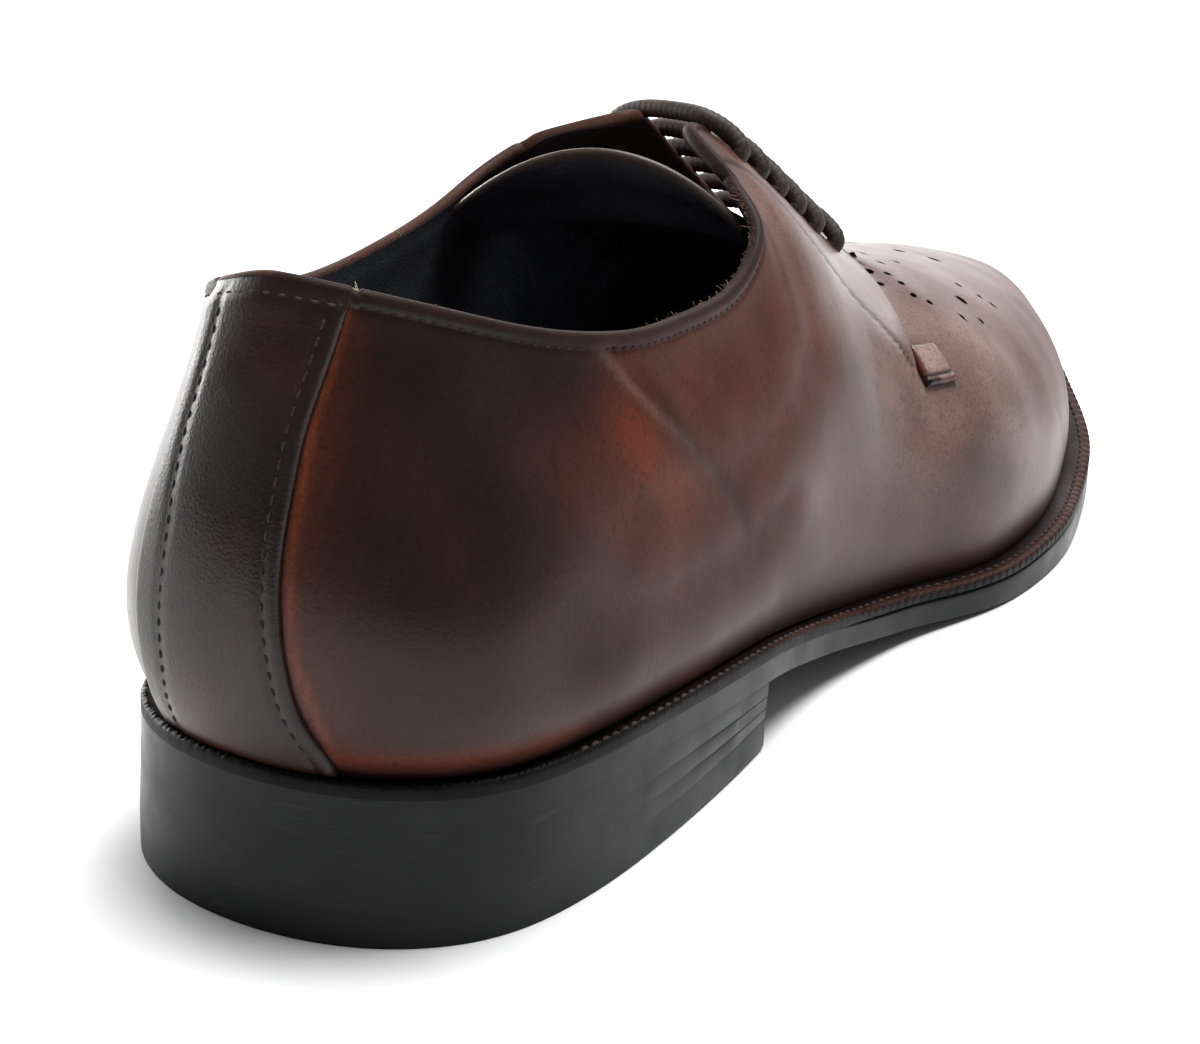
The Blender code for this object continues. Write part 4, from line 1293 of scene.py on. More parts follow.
def paint_hole_shade(mesh, holes):
    """Paints the walls and rims of the punched holes dark, as painted shade in the holes."""
    points = np.zeros(3 * len(mesh.vertices))
    mesh.vertices.foreach_get("co", points)
    points = points.reshape(-1, 3) / MM + SHIFT
    layer = mesh.color_attributes["tint"]
    finish = np.zeros(4 * len(mesh.vertices))
    layer.data.foreach_get("color", finish)
    finish = finish.reshape(-1, 4)
    for place, normal, radius in holes:
        away = points - place
        deep = away @ normal
        aside = np.linalg.norm(away - deep[:, None] * normal, axis=1)
        inside = (aside < radius * HOLE_SHADE_RIM) & (np.abs(deep) < HOLE_SHADE_REACH)
        finish[inside] = (*colour("espresso"), 1.0)
    layer.data.foreach_set("color", finish.ravel())


STRIP_STEPS = 20
STRIP_ROWS = 90
STRIP_CROWD = 1.6
# Strip: gap below it, thickness at its edges, share left at its top edge, valleys of its stitches, and
# how far it is darkened towards its edges
STRIP_GAP = 0.05
STRIP_EDGE_THICK = 0.25
STRIP_TOP_SHARE = 0.12
STRIP_TOP_REACH = 3.0
STRIP_VALLEY_WIDTH = 0.6
STRIP_VALLEY_DEPTH = 0.22
STRIP_EDGE_DARK = 0.5
STRIP_EDGE_DARK_REACH = 0.7
# Rubbed places of the strip: finish, reach, strength, side, and a line of (row, share)
STRIP_PATINA = (
    ("brown", 6.0, 0.35, OUTER, ((0.1, 0.9), (0.3, 0.85))),
    ("edge", 5.0, 0.6, OUTER, ((0.05, 0.5), (0.1, 0.3))),
    ("brown", 5.0, 0.4, INNER, ((0.3, 0.16), (0.5, 0.08))),
    ("oxblood", 4.0, 0.7, OUTER, ((0.0, 0.02), (0.4, 0.02))),
    ("oxblood", 4.0, 0.7, INNER, ((0.0, 0.02), (1.0, 0.02))),
)


def strip_places():
    """Rows for each side, and shares, of the back strip's grid, from the heel's middle to its edges."""
    shares = np.linspace(STRIP_EDGES[0][0], STRIP_EDGES[-1][0], STRIP_ROWS)
    parts = 1 - (1 - np.linspace(0.0, 1.0, STRIP_STEPS + 1)) ** STRIP_CROWD
    rows = {side: parts[:, None] * STRIP_ENDS[side](shares) for side in SIDES}
    return rows, shares


def strip_insets(side):
    """Distance of a stitch row from the strip's edge for each share of the strip's grid."""
    insets = table_curve(STRIP_STITCH_INSET, STRIP_INSET_COLUMNS, "share", SIDE_NAMES[side] + "_inset")
    return insets(strip_places()[1])


def strip_surface(lift):
    """Points of the back strip's grid at a lift above the upper."""
    rows, shares = strip_places()
    outer = on_upper(OUTER, rows[OUTER][:0:-1], shares, lift[:STRIP_STEPS])[0]
    inner = on_upper(INNER, rows[INNER], shares, lift[STRIP_STEPS:])[0]
    return np.concatenate((outer, inner))


def build_back_strip():
    """Dark strip over the heel with rounded edges, thinned towards the rim."""
    shape = Shape()
    base = strip_surface(np.full((2 * STRIP_STEPS + 1, STRIP_ROWS), STRIP_GAP))
    across = lengths_down(base)
    from_edge = np.minimum(across, across[-1] - across)
    length = arc_lengths(base)
    from_top = length[:, -1:] - length
    thin = STRIP_TOP_SHARE + (1 - STRIP_TOP_SHARE) * smooth_step(0.0, STRIP_TOP_REACH, from_top)
    thick = STRIP_EDGE_THICK + (STRIP_THICK - STRIP_EDGE_THICK) * rounded(from_edge)
    for side, inwards in ((OUTER, across), (INNER, across[-1] - across)):
        thick = thick - STRIP_VALLEY_DEPTH * bump(inwards, strip_insets(side), STRIP_VALLEY_WIDTH)
    top = strip_surface(thin * thick)
    tint = toward(colour("strip"), "edge", STRIP_EDGE_DARK * bump(from_edge, 0.0, STRIP_EDGE_DARK_REACH))
    for finish, reach, strength, side, places in STRIP_PATINA:
        distance = line_distance(base, surface_line(side, places))
        tint = toward(tint, finish, strength * bump(distance, 0.0, reach))
    shape.sheet(top, base, tint, colour("black"))
    make("back_strip_leather", shape, STRIP_CALF, ("back_strip",), SOFT)
    return base


TONGUE_STEPS = 80
TONGUE_CROWD = 1.5
TONGUE_BRIDGE = 30
# Tongue: part over which its near corner drops, thinning of its top edge, and reach of the rim's colour
TONGUE_DROP_PART = 0.2
TONGUE_PINCH = 0.45
TONGUE_RIM_REACH = 1.2
TONGUE_UNDER_REACH = 0.8


def tongue_run(rows, sink, share, crown, near_drop=0.0):
    """Tongue across the foot, from the inside of one quarter to the other with a crown between."""
    ends = []
    for side in SIDES:
        points, normals = surface(side, rows[side], share - (near_drop if side == OUTER else 0.0))[:2]
        ends.append(points - normals * (WALL + sink))
    start, end = ends
    t = np.linspace(0.0, 1.0, TONGUE_BRIDGE + 1)[:, None]
    run = mix(start, end, t)
    run[:, 2:] += crown * np.linalg.norm(end - start) * 4 * t * (1 - t)
    return run


def build_tongue():
    """Sheet that falls from its arched top edge, below the facings, to its tip under the vamp."""
    shape = Shape()
    side_share = table_curve(TONGUE_SIDES, TONGUE_COLUMNS, "part", "share")
    crown = table_curve(TONGUE_SIDES, TONGUE_COLUMNS, "part", "crown")
    runs = []
    for part in np.linspace(0.0, 1.0, TONGUE_STEPS + 1) ** TONGUE_CROWD:
        end = FRONT_ROW - EDGE_GAP
        rows = {side: mix(top, end, part) for side, top in TONGUE_TOP_ROWS.items()}
        near_drop = TONGUE_NEAR_DROP * (1 - smooth_step(0.0, TONGUE_DROP_PART, part))
        runs.append(tongue_run(rows, TONGUE_GAP, side_share(part), crown(part), near_drop))
    tip = {side: TONGUE_TIP_ROW for side in SIDES}
    runs.append(tongue_run(tip, TONGUE_GAP + TONGUE_TIP_DROP, side_share(1.0), crown(1.0)))
    top = np.array(runs)
    along = lengths_down(top)
    pinch = TONGUE_PINCH * (1 - rounded(along))
    through = TONGUE_THICK * np.array(TONGUE_THROUGH)
    bottom = top + through * (1 - pinch)[..., None]
    top = top + through * pinch[..., None]
    tint = toward(colour("brown"), "tongue_rim", bump(along, 0.0, TONGUE_RIM_REACH))
    # The underside is painted lighter than the lining, as painted fill light
    under = toward(colour("tongue_lining_painted_light"), "tongue_rim", bump(along, 0.0, TONGUE_UNDER_REACH))
    shape.sheet(top, bottom, tint, under)
    make("tongue_leather", shape, CALF, ("tongue",), SOFT)


TACK_STEPS = 14
TACK_SLANT = 0.16
# Tab: its slit, its seat as a share of the facing's step, its profile as shares of its thickness, how
# far it is let into the leather, the edge of its pale face, painted as a highlight, and the dark corner
# below the slit, painted shade in the gap under the tab
TACK_SLIT = 1.7
TACK_SLIT_WIDTH = 0.4
TACK_SEAT = 0.7
TACK_EDGE = 0.15
TACK_SWELL = 0.5
TACK_GROOVE = 0.35
TACK_SINK = 0.1
TACK_HIGHLIGHT_FACE = (0.3, 1.1)
TACK_SHADE_UP = (0.5, 1.0)
TACK_SHADE_ALONG = (0.35, 0.5)


def build_tacks():
    """Small tabs at the lower ends of the facings: pale face painted as a highlight, dark cut edge, and dark
    slit and corner painted as shade.
    """
    for side, name in SIDE_NAMES.items():
        shape = Shape()
        shares = np.linspace(*TACK_SHARES, TACK_STEPS + 1)
        slant = TACK_SLANT * (TACK_SHARES[1] - shares) / (TACK_SHARES[1] - TACK_SHARES[0])
        rows = np.linspace(*TACK_ROWS, TACK_STEPS + 1)[:, None] + slant
        points, normals = surface(side, rows, shares)[:2]
        along = lengths_down(points)
        up = arc_lengths(points)
        edge = np.minimum(np.minimum(along, along[-1] - along), np.minimum(up, up[:, -1:] - up))
        slit = bump(up, TACK_SLIT, TACK_SLIT_WIDTH)
        swell = TACK_EDGE + TACK_SWELL * rounded(edge) - TACK_GROOVE * slit
        below = 1 - smooth_step(*TACK_SHADE_UP, up / TACK_SLIT)
        behind = 1 - smooth_step(*TACK_SHADE_ALONG, along / along[-1])
        # Pale face: painted highlight on the tab
        tint = toward(colour("rust"), "pale", smooth_step(*TACK_HIGHLIGHT_FACE, edge))
        # Painted shade in the slit and in the gap below it
        tint = toward(tint, "espresso", np.maximum(slit, below * behind))
        top = points + normals * (FACING_STEP * TACK_SEAT + TACK_THICK * swell)[..., None]
        bottom = points - normals * TACK_SINK
        shape.sheet(top, bottom, tint, colour("espresso"))
        make("tack_leather_" + name, shape, CALF, ("tack_" + name,), SOFT)


def tube(shape, path, radius, sides, tint):
    """A round cord swept along a path, its radius and colour the same all over or given for each ring."""
    tangents = unit(np.gradient(path, axis=0))
    frame_side = np.cross(tangents[0], UP)
    if np.linalg.norm(frame_side) < 0.01:
        frame_side = np.cross(tangents[0], (0.0, 1.0, 0.0))
    radius = np.broadcast_to(radius, (len(path), sides))
    rings = []
    for i, point in enumerate(path):
        frame_side = unit(frame_side - tangents[i] * (frame_side @ tangents[i]))
        spokes = ring(sides, frame_side, np.cross(tangents[i], frame_side))
        rings.append(point + spokes * radius[i][:, None])
    shape.rod(np.array(rings), tint)


PATH_STEPS = 16


def smooth_path(points, step):
    """A smooth curve through points, cut at even steps."""
    points = np.asarray(points, float)
    padded = np.concatenate((2 * points[:1] - points[1:2], points, 2 * points[-1:] - points[-2:-1]))
    fine = []
    for run in zip(padded, padded[1:], padded[2:], padded[3:]):
        fine += [between(*run, t) for t in np.linspace(0.0, 1.0, PATH_STEPS, endpoint=False)]
    fine.append(points[-1])
    fine = np.array(fine)
    lengths = arc_lengths(fine)
    places = np.linspace(0.0, lengths[-1], max(int(lengths[-1] / step), 2))
    return along_line(places, lengths, fine)


# Way of the lace at each hole: under the leather, in the hole, out of it with a lean to the crest of the
# facing, over the shoulder, over the crest, and the arch of the top bar
LACE_UNDER = 3.2
LACE_IN_HOLE = 0.6
LACE_OUT_OF_HOLE = 1.2
LACE_LEAN = 0.6
LACE_SHOULDER = 0.35
LACE_LIFT = {OUTER: 0.2, INNER: -0.7}
LACE_PAST_CREST = 0.3
LACE_TOP_ARCH = 0.4
LACE_RETURN_SHARE = 0.84
# Braid of the cord: lay length, strands around, how far strands stand out, and how light they are
# painted: painted shade between the strands and painted highlight on their tops
BRAID_LAY = 2.3
BRAID_STRANDS = 4
BRAID_SWELL = 0.07
BRAID_PAINTED_LIGHT = (0.35, 0.8)
CORD_SIDES = 16
CORD_STEP = 0.3


def braid(length):
    """From -1 between the strands to 1 on top of a strand, for each length and spoke of the cord."""
    length = length[:, None]
    turns = 2 * math.pi * np.arange(CORD_SIDES) / CORD_SIDES
    first = np.cos(2 * math.pi * length / BRAID_LAY + BRAID_STRANDS * turns)
    second = np.cos(2 * math.pi * length / BRAID_LAY - BRAID_STRANDS * turns)
    return np.maximum(first, second) * np.abs(first - second) / 2


def row_where(along, low, high, place):
    """Row between two rows where a line across the rows reaches a place along the foot."""
    for _ in range(HALVINGS):
        middle = (low + high) / 2
        if place(middle)[0] < along:
            low = middle
        else:
            high = middle
    return low


def crest_at(along, side):
    """Top edge of a facing at a place along the foot, and its row."""
    row = row_where(along, FACING_TOP_ROW, FRONT_ROW, lambda row: top_point(row, side))
    row = min(row, FRONT_ROW - EDGE_GAP)
    return on_upper(side, row, 1.0)[0], row


def lace_points():
    """Centre line of one lace: bar by bar down the throat, then back under a facing to the top eyelet."""
    points = []
    for number, row in enumerate(EYELET_ROWS):
        order = SIDES if number % 2 == 0 else SIDES[::-1]
        bar = []
        for side in order:
            hole, normal = on_upper(side, row, EYELET_SHARE)
            crest, crest_row = crest_at(hole[0], side)
            shoulder, shoulder_normal = on_upper(side, (row + crest_row) / 2, (1 + EYELET_SHARE) / 2)
            to_crest = unit(crest - hole)
            half = [
                hole - normal * LACE_UNDER,
                hole - normal * LACE_IN_HOLE,
                hole + normal * LACE_OUT_OF_HOLE + to_crest * LACE_LEAN,
                shoulder + shoulder_normal * (LACE_RADIUS + LACE_SHOULDER),
                crest + UP * (LACE_RADIUS + LACE_LIFT[side]) + to_crest * LACE_PAST_CREST,
            ]
            bar.append(half)
        first, second = bar[0], bar[1][::-1]
        middle = (first[-1] + second[0]) / 2 + UP * (0.0 if number else LACE_TOP_ARCH)
        points += first + [middle] + second
    for row in EYELET_ROWS[-2::-1]:
        point, normal = on_upper(order[1], row, LACE_RETURN_SHARE)
        points.append(point - normal * LACE_UNDER)
    return points


def build_laces():
    """One braided cord through all eyelets."""
    shape = Shape()
    path = smooth_path(lace_points(), CORD_STEP)
    weave = braid(arc_lengths(path))
    # Painted highlight on the strands' tops and painted shade between them
    light = np.clip(BRAID_PAINTED_LIGHT[0] + BRAID_PAINTED_LIGHT[1] * weave, 0.0, 1.0)
    tint = toward(colour("cord_gap_shade"), "cord", light)
    tube(shape, path, LACE_RADIUS * (1 + BRAID_SWELL * weave), CORD_SIDES, tint)
    make("lace_cord", shape, CORD, ("laces",), ALL_SMOOTH)


def sole_rows(steps, stop_along=None):
    """Row pairs for plates across the sole, up to a place along the foot when one is given."""
    if stop_along is None:
        return [(row, row) for row in even_rows(steps)]
    ends = []
    for side in SIDES:
        ends.append(row_where(stop_along, HEEL_ROW, THROAT_ROW, lambda row: edge_point(row, side)[0]))
    count = int(max(ends) * steps)
    return [tuple(end * k / count for end in ends) for k in range(count + 1)]


PLATE_STEPS = 10
PLATE_ROW_STEPS = 10


def border(grid):
    """Run around a grid of cross lines, up one side, over the last line and back down the other side."""
    return np.concatenate((grid[:, 0], grid[-1, 1:-1], grid[::-1, -1]))


def plate(shape, pairs, levels, tint):
    """A closed plate of cross lines.  Each level has a function of the row that gives an inset, and one of
    the place along the foot that gives a height; the first and the last level are filled."""
    rims = []
    last = len(levels) - 1
    for number, (inset, height) in enumerate(levels):
        lines = []
        for outer_row_at, inner_row_at in pairs:
            a = edge_point(outer_row_at, OUTER, inset(outer_row_at))[0]
            b = edge_point(inner_row_at, INNER, inset(inner_row_at))[0]
            if outer_row_at in (HEEL_ROW, TOE_ROW):
                b = a
            t = np.linspace(0.0, 1.0, PLATE_STEPS + 1)[:, None]
            plan = mix(a, b, t)
            lines.append(np.column_stack((plan, height(plan[:, 0]))))
        lines = np.array(lines)
        if number in (0, last):
            numbers = shape.add(lines, tint)
            shape.skin(numbers)
            rims.append(border(numbers))
        else:
            rims.append(shape.add(border(lines), tint))
    shape.skin(np.stack(rims), around=True)


def fixed(value):
    """A function that gives the same value for each place."""
    def give(at):
        return value + 0.0 * np.asarray(at, float)
    return give


# Edge of the outsole from top to bottom: inset and share of its height
OUTSOLE_EDGE = (
    (0.4, 1.0), (0.15, 0.97), (0.03, 0.9), (0.0, 0.7), (0.0, 0.3), (0.02, 0.12), (0.15, 0.04), (0.5, 0.0),
)
# Rows over which the lower bevel begins in front of the heel, and the upper one at the waist
BEVEL_ROWS = (5.0, 6.5)
WAIST_ROWS = (8.0, 10.5)


def build_outsole():
    """Leather sole with a rounded, blacked edge."""
    shape = Shape()

    def level(share):
        def height(along):
            low = sole_low(along)
            return low + (sole_top(along) - WELT_THICK - low) * share
        return height

    def bevel(inset, share):
        def give(row):
            return inset * smooth_step(*(WAIST_ROWS if share > 0.5 else BEVEL_ROWS), row)
        return give

    levels = [(bevel(inset, share), level(share)) for inset, share in OUTSOLE_EDGE]
    plate(shape, sole_rows(PLATE_ROW_STEPS), levels, colour("sole"))
    make("outsole_leather", shape, EDGE, ("outsole",))


# Heel stack: its lifts show as fine lines that fade towards the back, as shares of its height.  Then how
# far it is let into the outsole, and the edges of stack and top lift as (share or height, groove).
LIFT_LINES = (0.3, 0.62)
LIFT_GROOVE = 0.16
LIFT_LINE_HALF = 0.014
LIFT_LINE_ROWS = (3.2, 5.5)
HEEL_SEAT = 0.05
STACK_TOP = ((1.0, 0.1), (0.97, 0.0))
STACK_FOOT = ((0.05, 0.0), (0.0, LIFT_GROOVE))
TOP_LIFT_EDGE = (
    (TOP_LIFT_THICK, LIFT_GROOVE), (TOP_LIFT_THICK - 0.4, 0.0), (1.0, 0.0), (0.3, 0.2), (0.0, 0.7),
)


def build_heel():
    """Stacked heel with lift lines, and the top lift with a small bevel."""
    pairs = sole_rows(PLATE_ROW_STEPS, BREAST_ALONG)

    def inset(groove, draw=1.0):
        def give(row):
            return draw * HEEL_DRAW(row) + groove * smooth_step(*LIFT_LINE_ROWS, row)
        return give

    def level(share):
        def height(along):
            high = sole_low(along) + HEEL_SEAT
            return TOP_LIFT_THICK + (high - TOP_LIFT_THICK) * share
        return height

    stack = Shape()
    shares = list(STACK_TOP)
    for line in LIFT_LINES[::-1]:
        for reach, groove in ((LIFT_LINE_HALF, 0.0), (0.0, LIFT_GROOVE), (-LIFT_LINE_HALF, 0.0)):
            shares.append((line + reach, groove))
    shares += STACK_FOOT
    levels = [(inset(groove, 1 - share), level(share)) for share, groove in shares]
    plate(stack, pairs, levels, colour("sole"))
    make("heel_leather", stack, EDGE, ("heel_stack",))

    lift = Shape()
    levels = [(inset(groove), fixed(high)) for high, groove in TOP_LIFT_EDGE]
    plate(lift, pairs, levels, colour("sole"))
    make("top_lift_rubber", lift, RUBBER, ("top_lift",))


# Insole: gap to the wall, steps of its plate for each row, and its soft edge as inset and drop
INSOLE_GAP = 0.2
INSOLE_ROW_STEPS = 6
INSOLE_EDGE = ((1.2, 0.0), (0.4, 0.3), (0.0, 1.0), (0.0, INSOLE_RISE))


def build_insole():
    """Inside floor with a soft edge."""
    shape = Shape()

    def inset(extra):
        def give(row):
            return SHOW(row) + WALL + INSOLE_GAP + extra
        return give

    def high(drop):
        def give(along):
            return sole_top(along) + INSOLE_RISE - drop
        return give

    levels = [(inset(extra), high(drop)) for extra, drop in INSOLE_EDGE]
    plate(shape, sole_rows(INSOLE_ROW_STEPS), levels, colour("lining"))
    make("insole_sock", shape, LINING, ("insole",), SOFT)


# Welt: wheeled edge with one scallop for each stitch, flatter and ragged behind the waist, where the
# inner part is sunk too
WELT_PITCH = 2.5
WELT_STITCHES = int(EDGE_LENGTHS[-1] / WELT_PITCH)
SCALLOP_POINTS = 8
THREAD_POINTS = 2
SCALLOP_DEPTH = 0.4
SCALLOP_BEHIND = 0.2
RAGGED_HEIGHT = 0.2
RAGGED_TURNS = (1.7, 0.23)
STITCH_IN = 0.42
STITCH_IN_WAIST = 0.24
WELT_SINK = 0.55
WELT_UNDER = 0.3
# Colours of the welt's section: black edge up to one point, painted shade beside the upper from another,
# and the rows over which its top turns brown
WELT_EDGE_END = 4
WELT_SHADE_START = 8
WELT_BROWN_ROWS = (3.5, 8.0)


def edge_walk(stitch_points):
    """Rows and sides around the sole edge at even steps, starting at the heel back, with a number of points
    for each stitch of the welt, and one less for the stitch where the walk closes."""
    total = EDGE_LENGTHS[-1]
    count = WELT_STITCHES * stitch_points - 1
    knots = len(EDGE_LENGTHS) - 1
    places = []
    for k in range(count):
        index = np.interp(k * total / count, EDGE_LENGTHS, range(knots + 1))
        side = OUTER if index <= TOE_ROW else INNER
        places.append((index if side == OUTER else knots - index, side))
    return places


def build_welt():
    """Ring under the foot of the upper, its top edge wheeled into scallops."""
    shape = Shape()
    places = edge_walk(SCALLOP_POINTS)
    runs = []
    for k, (row, side) in enumerate(places):
        wave = abs(math.sin(math.pi * k / SCALLOP_POINTS))
        front = smooth_step(*WAIST_ROWS, row)
        dip = SCALLOP_DEPTH * (1 - wave) * (SCALLOP_BEHIND + (1 - SCALLOP_BEHIND) * front)
        ragged = RAGGED_HEIGHT * (1 - front) * math.prod(math.sin(turn * k) for turn in RAGGED_TURNS)
        sunk = WELT_SINK * (1 - front)
        show = SHOW(row)
        hidden = show + WALL + WELT_UNDER
        # Inset and rise, from the hidden underside round the edge to the hidden top
        section = (
            (hidden, -WELT_THICK),
            (0.5 * front, -WELT_THICK),
            (0.05 * front, -WELT_THICK + 0.35),
            (0.25 * dip, -0.75),
            (0.18 + 0.35 * dip, -0.28 - 0.75 * dip),
            (0.6, -0.04 - 0.85 * dip + ragged),
            (show * 0.3, -0.5 * dip + ragged),
            (show * STITCH_IN, -0.12 - 0.3 * dip),
            (show * 0.62, -sunk),
            (show * 0.9, 0.02 - sunk),
            (hidden, -sunk),
        )
        run = []
        for inset, rise in section:
            plan = edge_point(row, side, inset)[0]
            run.append((*plan, sole_top(plan[0]) + rise))
        runs.append(run)
    runs = np.array(runs)
    brown = smooth_step(*WELT_BROWN_ROWS, np.array([row for row, side in places]))
    tint = toward(np.broadcast_to(colour("sole"), runs.shape), "welt", brown[:, None])
    tint[:, :WELT_EDGE_END] = colour("sole")
    # Painted shade in the sunk part beside the upper
    tint[:, WELT_SHADE_START:] = colour("espresso")
    numbers = shape.add(runs, tint)
    closed = np.concatenate((numbers, numbers[:1]))
    shape.skin(closed, around=True)
    make("welt_strip", shape, WELT_LEATHER, ("welt",))


# Stitch: its rings from end to end, share left at its ends, height of its middle, and dive of its ends
STITCH_SIDES = 6
STITCH_RINGS = (-1.0, -0.8, -0.3, 0.3, 0.8, 1.0)
STITCH_TIP = 0.06
STITCH_STAND = 0.55
STITCH_DIVE = 0.9
# Seams: radius of the thread, share of the pitch that it fills, and how far it is sunk
COLLAR_THREAD = (0.22, 0.6, 0.25)
STRIP_THREAD = (0.27, 0.66, 0.25)
STRIP_TOP_THREAD = (0.25, 0.66, 0.25)
WELT_THREAD = (0.28, 0.6, 0.3)
COLLAR_PITCH = 2.0
STRIP_PITCH = 2.3
STRIP_TOP_PITCH = 2.2
# Places of the seams: rows, their distance from the strip's edges, and lift above the leather
COLLAR_END_ROW = 7.75
COLLAR_FROM_STRIP = 0.06
COLLAR_LIFT = -0.22
COLLAR_SHADE = 1.6
STRIP_TOP_START = 0.02
STRIP_TOP_INSET = 0.12
STRIP_TOP_DROP = STITCH_DROP + 0.4
STRIP_TOP_LIFT = 0.75
STRIP_LIFT = STRIP_THICK - 0.3
WELT_THREAD_ROW = 2.9
WELT_THREAD_LIFT = 0.02
RIM_SHARES = np.linspace(0.85, 1.0, 60)
COLLAR_POINTS = 200
STRIP_TOP_POINTS = 40
STRIP_STITCHED = slice(2, -4)
OUTWARD_PART = 0.8


def stitch_row(shape, line, normals, pitch, thread, tint):
    """Rounded stitches along a line on a surface."""
    radius, fill, sink = thread
    lengths = arc_lengths(line)
    count = int(lengths[-1] / pitch)
    for k in range(count):
        middle = (k + 0.5) * lengths[-1] / count
        ends = [middle - fill * pitch / 2, middle + fill * pitch / 2]
        a, b = [along_line(end, lengths, line) for end in ends]
        normal = unit(along_line(middle, lengths, normals))
        along = unit(b - a)
        side = np.cross(along, normal)
        rings = []
        for place in STITCH_RINGS:
            reach = radius * math.sqrt(max(1 - place ** 4, STITCH_TIP))
            arch = radius * (STITCH_STAND - sink - STITCH_DIVE * place ** 4)
            centre = (a + b) / 2 + along * np.linalg.norm(b - a) / 2 * place + normal * arch
            rings.append(centre + reach * ring(STITCH_SIDES, side, normal))
        shape.rod(np.array(rings), tint)


def rim_line(side, rows, drop, lift):
    """A line on the upper at an even distance below its rim, with normals."""
    lengths = arc_lengths(surface(side, rows[:, None], RIM_SHARES)[0])
    places = [np.interp(run[-1] - drop, run, RIM_SHARES) for run in lengths]
    return on_upper(side, rows, np.array(places), lift)


def strip_line(base, side, lift):
    """Stitch line of the back strip along one edge, with normals."""
    shares = strip_places()[1]
    insets = strip_insets(side)
    order = base if side == OUTER else base[::-1]
    across = lengths_down(order)
    line = [along_line(insets[j], across[:, j], order[:, j]) for j in range(len(shares))]
    outward = on_upper(side, OUTWARD_PART * STRIP_ENDS[side](shares), shares)[1]
    return np.array(line) + outward * lift, outward


def build_stitches(base):
    """All visible seams as one piece of thread for each seam kind."""
    collar = Shape()
    for side in SIDES:
        rows = np.linspace(STRIP_TOP_ROWS[side] + COLLAR_FROM_STRIP, COLLAR_END_ROW, COLLAR_POINTS)
        line, normals = rim_line(side, rows, STITCH_DROP, COLLAR_LIFT)
        stitch_row(collar, line, normals, COLLAR_PITCH, COLLAR_THREAD, colour("espresso") * COLLAR_SHADE)
    make("collar_stitches", collar, THREAD, (), ALL_SMOOTH)

    heel = Shape()
    for side in SIDES:
        line, normals = strip_line(base, side, STRIP_LIFT)
        line = line[STRIP_STITCHED]
        normals = normals[STRIP_STITCHED]
        stitch_row(heel, line, normals, STRIP_PITCH, STRIP_THREAD, colour("thread"))
    lines = []
    for side in SIDES:
        rows = np.linspace(STRIP_TOP_START, STRIP_TOP_ROWS[side] - STRIP_TOP_INSET, STRIP_TOP_POINTS)
        lines.append(rim_line(side, rows, STRIP_TOP_DROP, STRIP_TOP_LIFT))
    line, normals = [np.concatenate((lines[0][k][::-1], lines[1][k])) for k in range(2)]
    stitch_row(heel, line, normals, STRIP_TOP_PITCH, STRIP_TOP_THREAD, colour("thread"))
    make("strip_stitches", heel, THREAD, (), ALL_SMOOTH)

    welt = Shape()
    line = []
    for row, side in edge_walk(THREAD_POINTS):
        if row < WELT_THREAD_ROW:
            continue
        front = smooth_step(*WAIST_ROWS, row)
        inset = SHOW(row) * mix(STITCH_IN_WAIST, STITCH_IN, front)
        plan = edge_point(row, side, inset)[0]
        line.append((*plan, sole_top(plan[0]) + WELT_THREAD_LIFT))
    line = np.array(line)
    normals = np.broadcast_to(UP, line.shape)
    pitch = EDGE_LENGTHS[-1] / WELT_STITCHES
    stitch_row(welt, line, normals, pitch, WELT_THREAD, colour("waxed_thread"))
    make("welt_stitches", welt, THREAD, (), ALL_SMOOTH)


# Loose fibres of the rim: side, first and last row, number, longest and finish
FIBRES = (
    (OUTER, 4.3, 6.7, 170, 1.0, "fibre"),
    (OUTER, 2.0, 4.3, 25, 0.9, "fibre"),
    (INNER, 1.6, 5.0, 50, 1.0, "fibre"),
    (OUTER, 0.93, 1.0, 9, 1.5, "pale_fibre"),
)
FIBRE_RADIUS = 0.07
FIBRE_SIDES = 4
FIBRE_SEED = 7
# How a fibre grows: depth of its root, its scatter, lean to the inside and upwards, bend, and shortest
# share of the longest
FIBRE_ROOT = 0.9
FIBRE_SCATTER = 0.6
FIBRE_INWARDS = 0.5
FIBRE_UP = np.array((0.0, 0.0, 0.9))
FIBRE_BEND = 0.35
FIBRE_SHORTEST = 0.4


def build_fibres():
    """Short fibres that stand out from the raw inside of the rim."""
    shape = Shape()
    random = np.random.default_rng(FIBRE_SEED)
    for side, from_row, to_row, count, longest, finish in FIBRES:
        for row in random.uniform(from_row, to_row, count):
            point, normal = on_upper(side, row, 1.0)
            root = point - normal * random.uniform(FIBRE_ROOT, WALL)
            lean = unit(random.normal(0.0, FIBRE_SCATTER, 3) - FIBRE_INWARDS * normal + FIBRE_UP)
            bend = random.normal(0.0, FIBRE_BEND, 3)
            steps = np.linspace(0.0, 1.0, 5)[:, None] * random.uniform(FIBRE_SHORTEST, 1.0) * longest
            path = root + lean * steps + bend * steps ** 2 / longest
            tube(shape, path, FIBRE_RADIUS, FIBRE_SIDES, colour(finish))
    make("rim_fibres", shape, THREAD, (), ALL_SMOOTH)


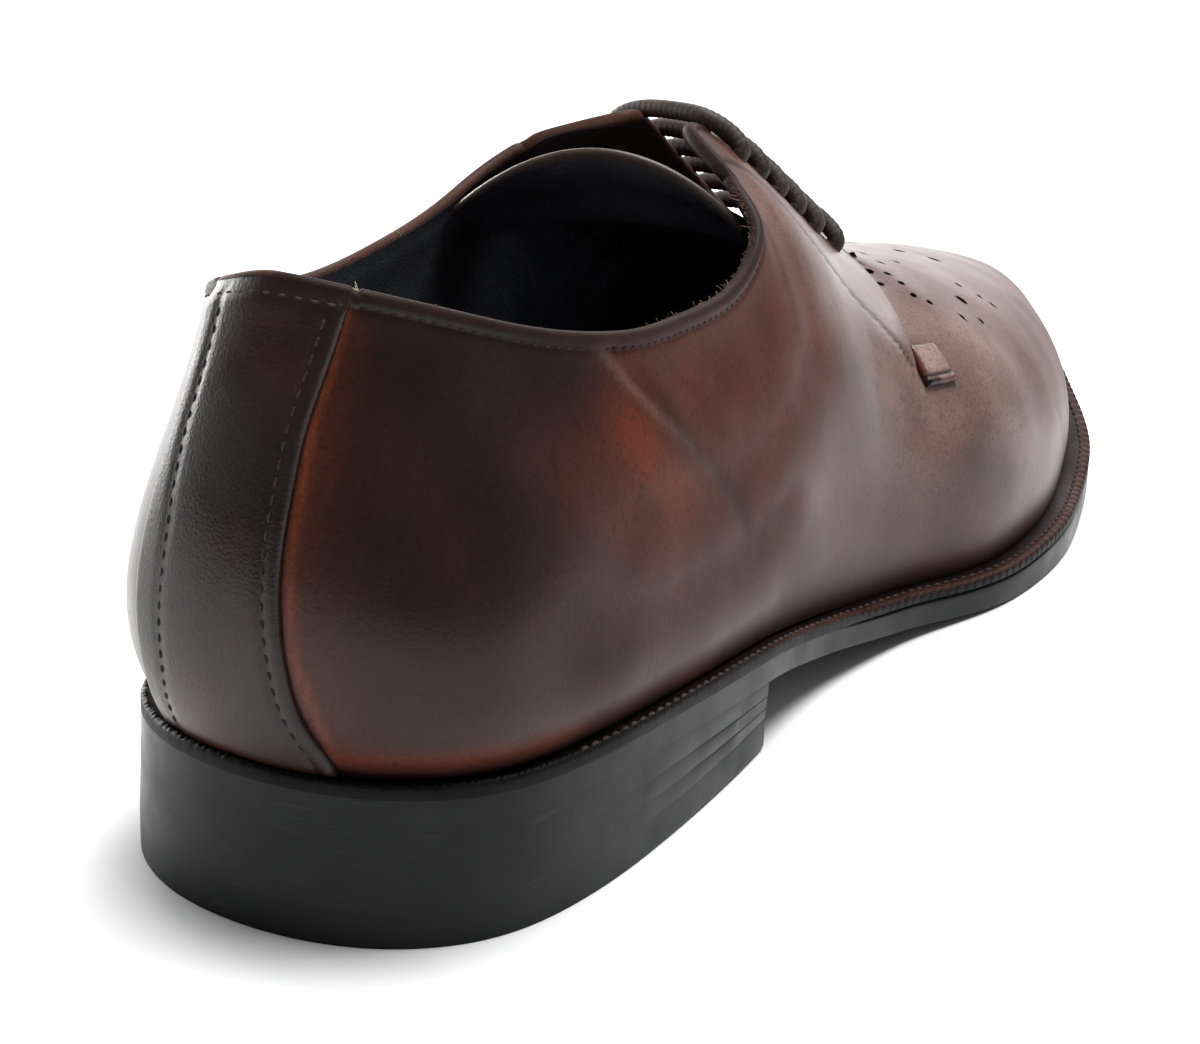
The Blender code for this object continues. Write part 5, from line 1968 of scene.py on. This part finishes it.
# Stage in metres: floor, world light, and soft lights as name, place, target, size and power in watts
FLOOR_HALF = 4.0
FLOOR_LOW = -0.00005
FLOOR_WHITE = (0.9, 0.9, 0.9, 1.0)
FLOOR_ROUGHNESS = 0.9
WORLD_GREY = (0.17, 0.17, 0.175, 1.0)
LIGHTS = (
    ("top_softbox", (0.34, -0.16, 1.8), (0.0, 0.0, 0.0), (1.1, 1.1), 58.0),
    ("left_softbox", (0.16, 0.8, 0.17), (-0.1, 0.0, 0.05), (0.9, 0.32), 11.0),
    ("back_softbox", (1.73, 1.0, 0.72), (0.0, 0.0, 0.05), (3.36, 1.4), 34.0),
)


def set_stage():
    """White floor and soft studio light."""
    material, tree, shader = new_material("floor_white")
    shader.inputs["Base Color"].default_value = FLOOR_WHITE
    shader.inputs["Roughness"].default_value = FLOOR_ROUGHNESS
    shader.inputs["Specular IOR Level"].default_value = 0.0
    mesh = bpy.data.meshes.new("floor")
    corners = [(x * FLOOR_HALF, y * FLOOR_HALF, FLOOR_LOW) for x, y in ((-1, -1), (1, -1), (1, 1), (-1, 1))]
    mesh.from_pydata(corners, [], [(0, 1, 2, 3)])
    mesh.materials.append(material)
    floor = bpy.data.objects.new("floor", mesh)
    bpy.context.scene.collection.objects.link(floor)

    world = bpy.data.worlds.new("studio")
    world.use_nodes = True
    world.node_tree.nodes["Background"].inputs["Color"].default_value = WORLD_GREY
    bpy.context.scene.world = world
    for light in LIGHTS:
        area_light(*light)
    bpy.context.scene.view_settings.view_transform = "Standard"


def area_light(name, place, target, size, power):
    """A soft rectangular light aimed at a place."""
    data = bpy.data.lights.new(name, "AREA")
    data.shape = "RECTANGLE"
    data.size, data.size_y = size
    data.energy = power
    light = bpy.data.objects.new(name, data)
    light.location = place
    light.rotation_euler = (Vector(target) - Vector(place)).to_track_quat("-Z", "Y").to_euler()
    bpy.context.scene.collection.objects.link(light)


# Camera found from the photograph's outline: angles in degrees, place in the shoe's frame
CAMERA_AZIMUTH = -63.2
CAMERA_ELEVATION = 19.9
CAMERA_ROLL = 2.24
CAMERA_PLACE = (-268.97, -187.54, 177.94)
CAMERA_LENS = 79.44
CAMERA_SENSOR = 36.0
CAMERA_CLIP = (0.01, 50.0)


def set_camera():
    """The photograph's camera."""
    data = bpy.data.cameras.new("camera")
    data.lens = CAMERA_LENS
    data.sensor_width = CAMERA_SENSOR
    data.clip_start, data.clip_end = CAMERA_CLIP
    camera = bpy.data.objects.new("camera", data)
    a, e, r = (math.radians(value) for value in (CAMERA_AZIMUTH, CAMERA_ELEVATION, CAMERA_ROLL))
    back = Vector((math.sin(a) * math.cos(e), -math.cos(a) * math.cos(e), math.sin(e)))
    level = Vector((0.0, 0.0, 1.0)).cross(back).normalized()
    upright = back.cross(level)
    right = math.cos(r) * level + math.sin(r) * upright
    up = math.cos(r) * upright - math.sin(r) * level
    turn = Matrix((right, up, back)).transposed().to_4x4()
    place = Vector((np.array(CAMERA_PLACE) - SHIFT) * MM)
    camera.matrix_world = Matrix.Translation(place) @ turn
    bpy.context.scene.collection.objects.link(camera)
    bpy.context.scene.camera = camera


def main():
    """Builds all pieces, the stage and the camera."""
    punch(build_upper())
    strip = build_back_strip()
    build_tongue()
    build_tacks()
    build_laces()
    build_insole()
    build_welt()
    build_outsole()
    build_heel()
    build_stitches(strip)
    build_fibres()
    set_stage()
    set_camera()


main()
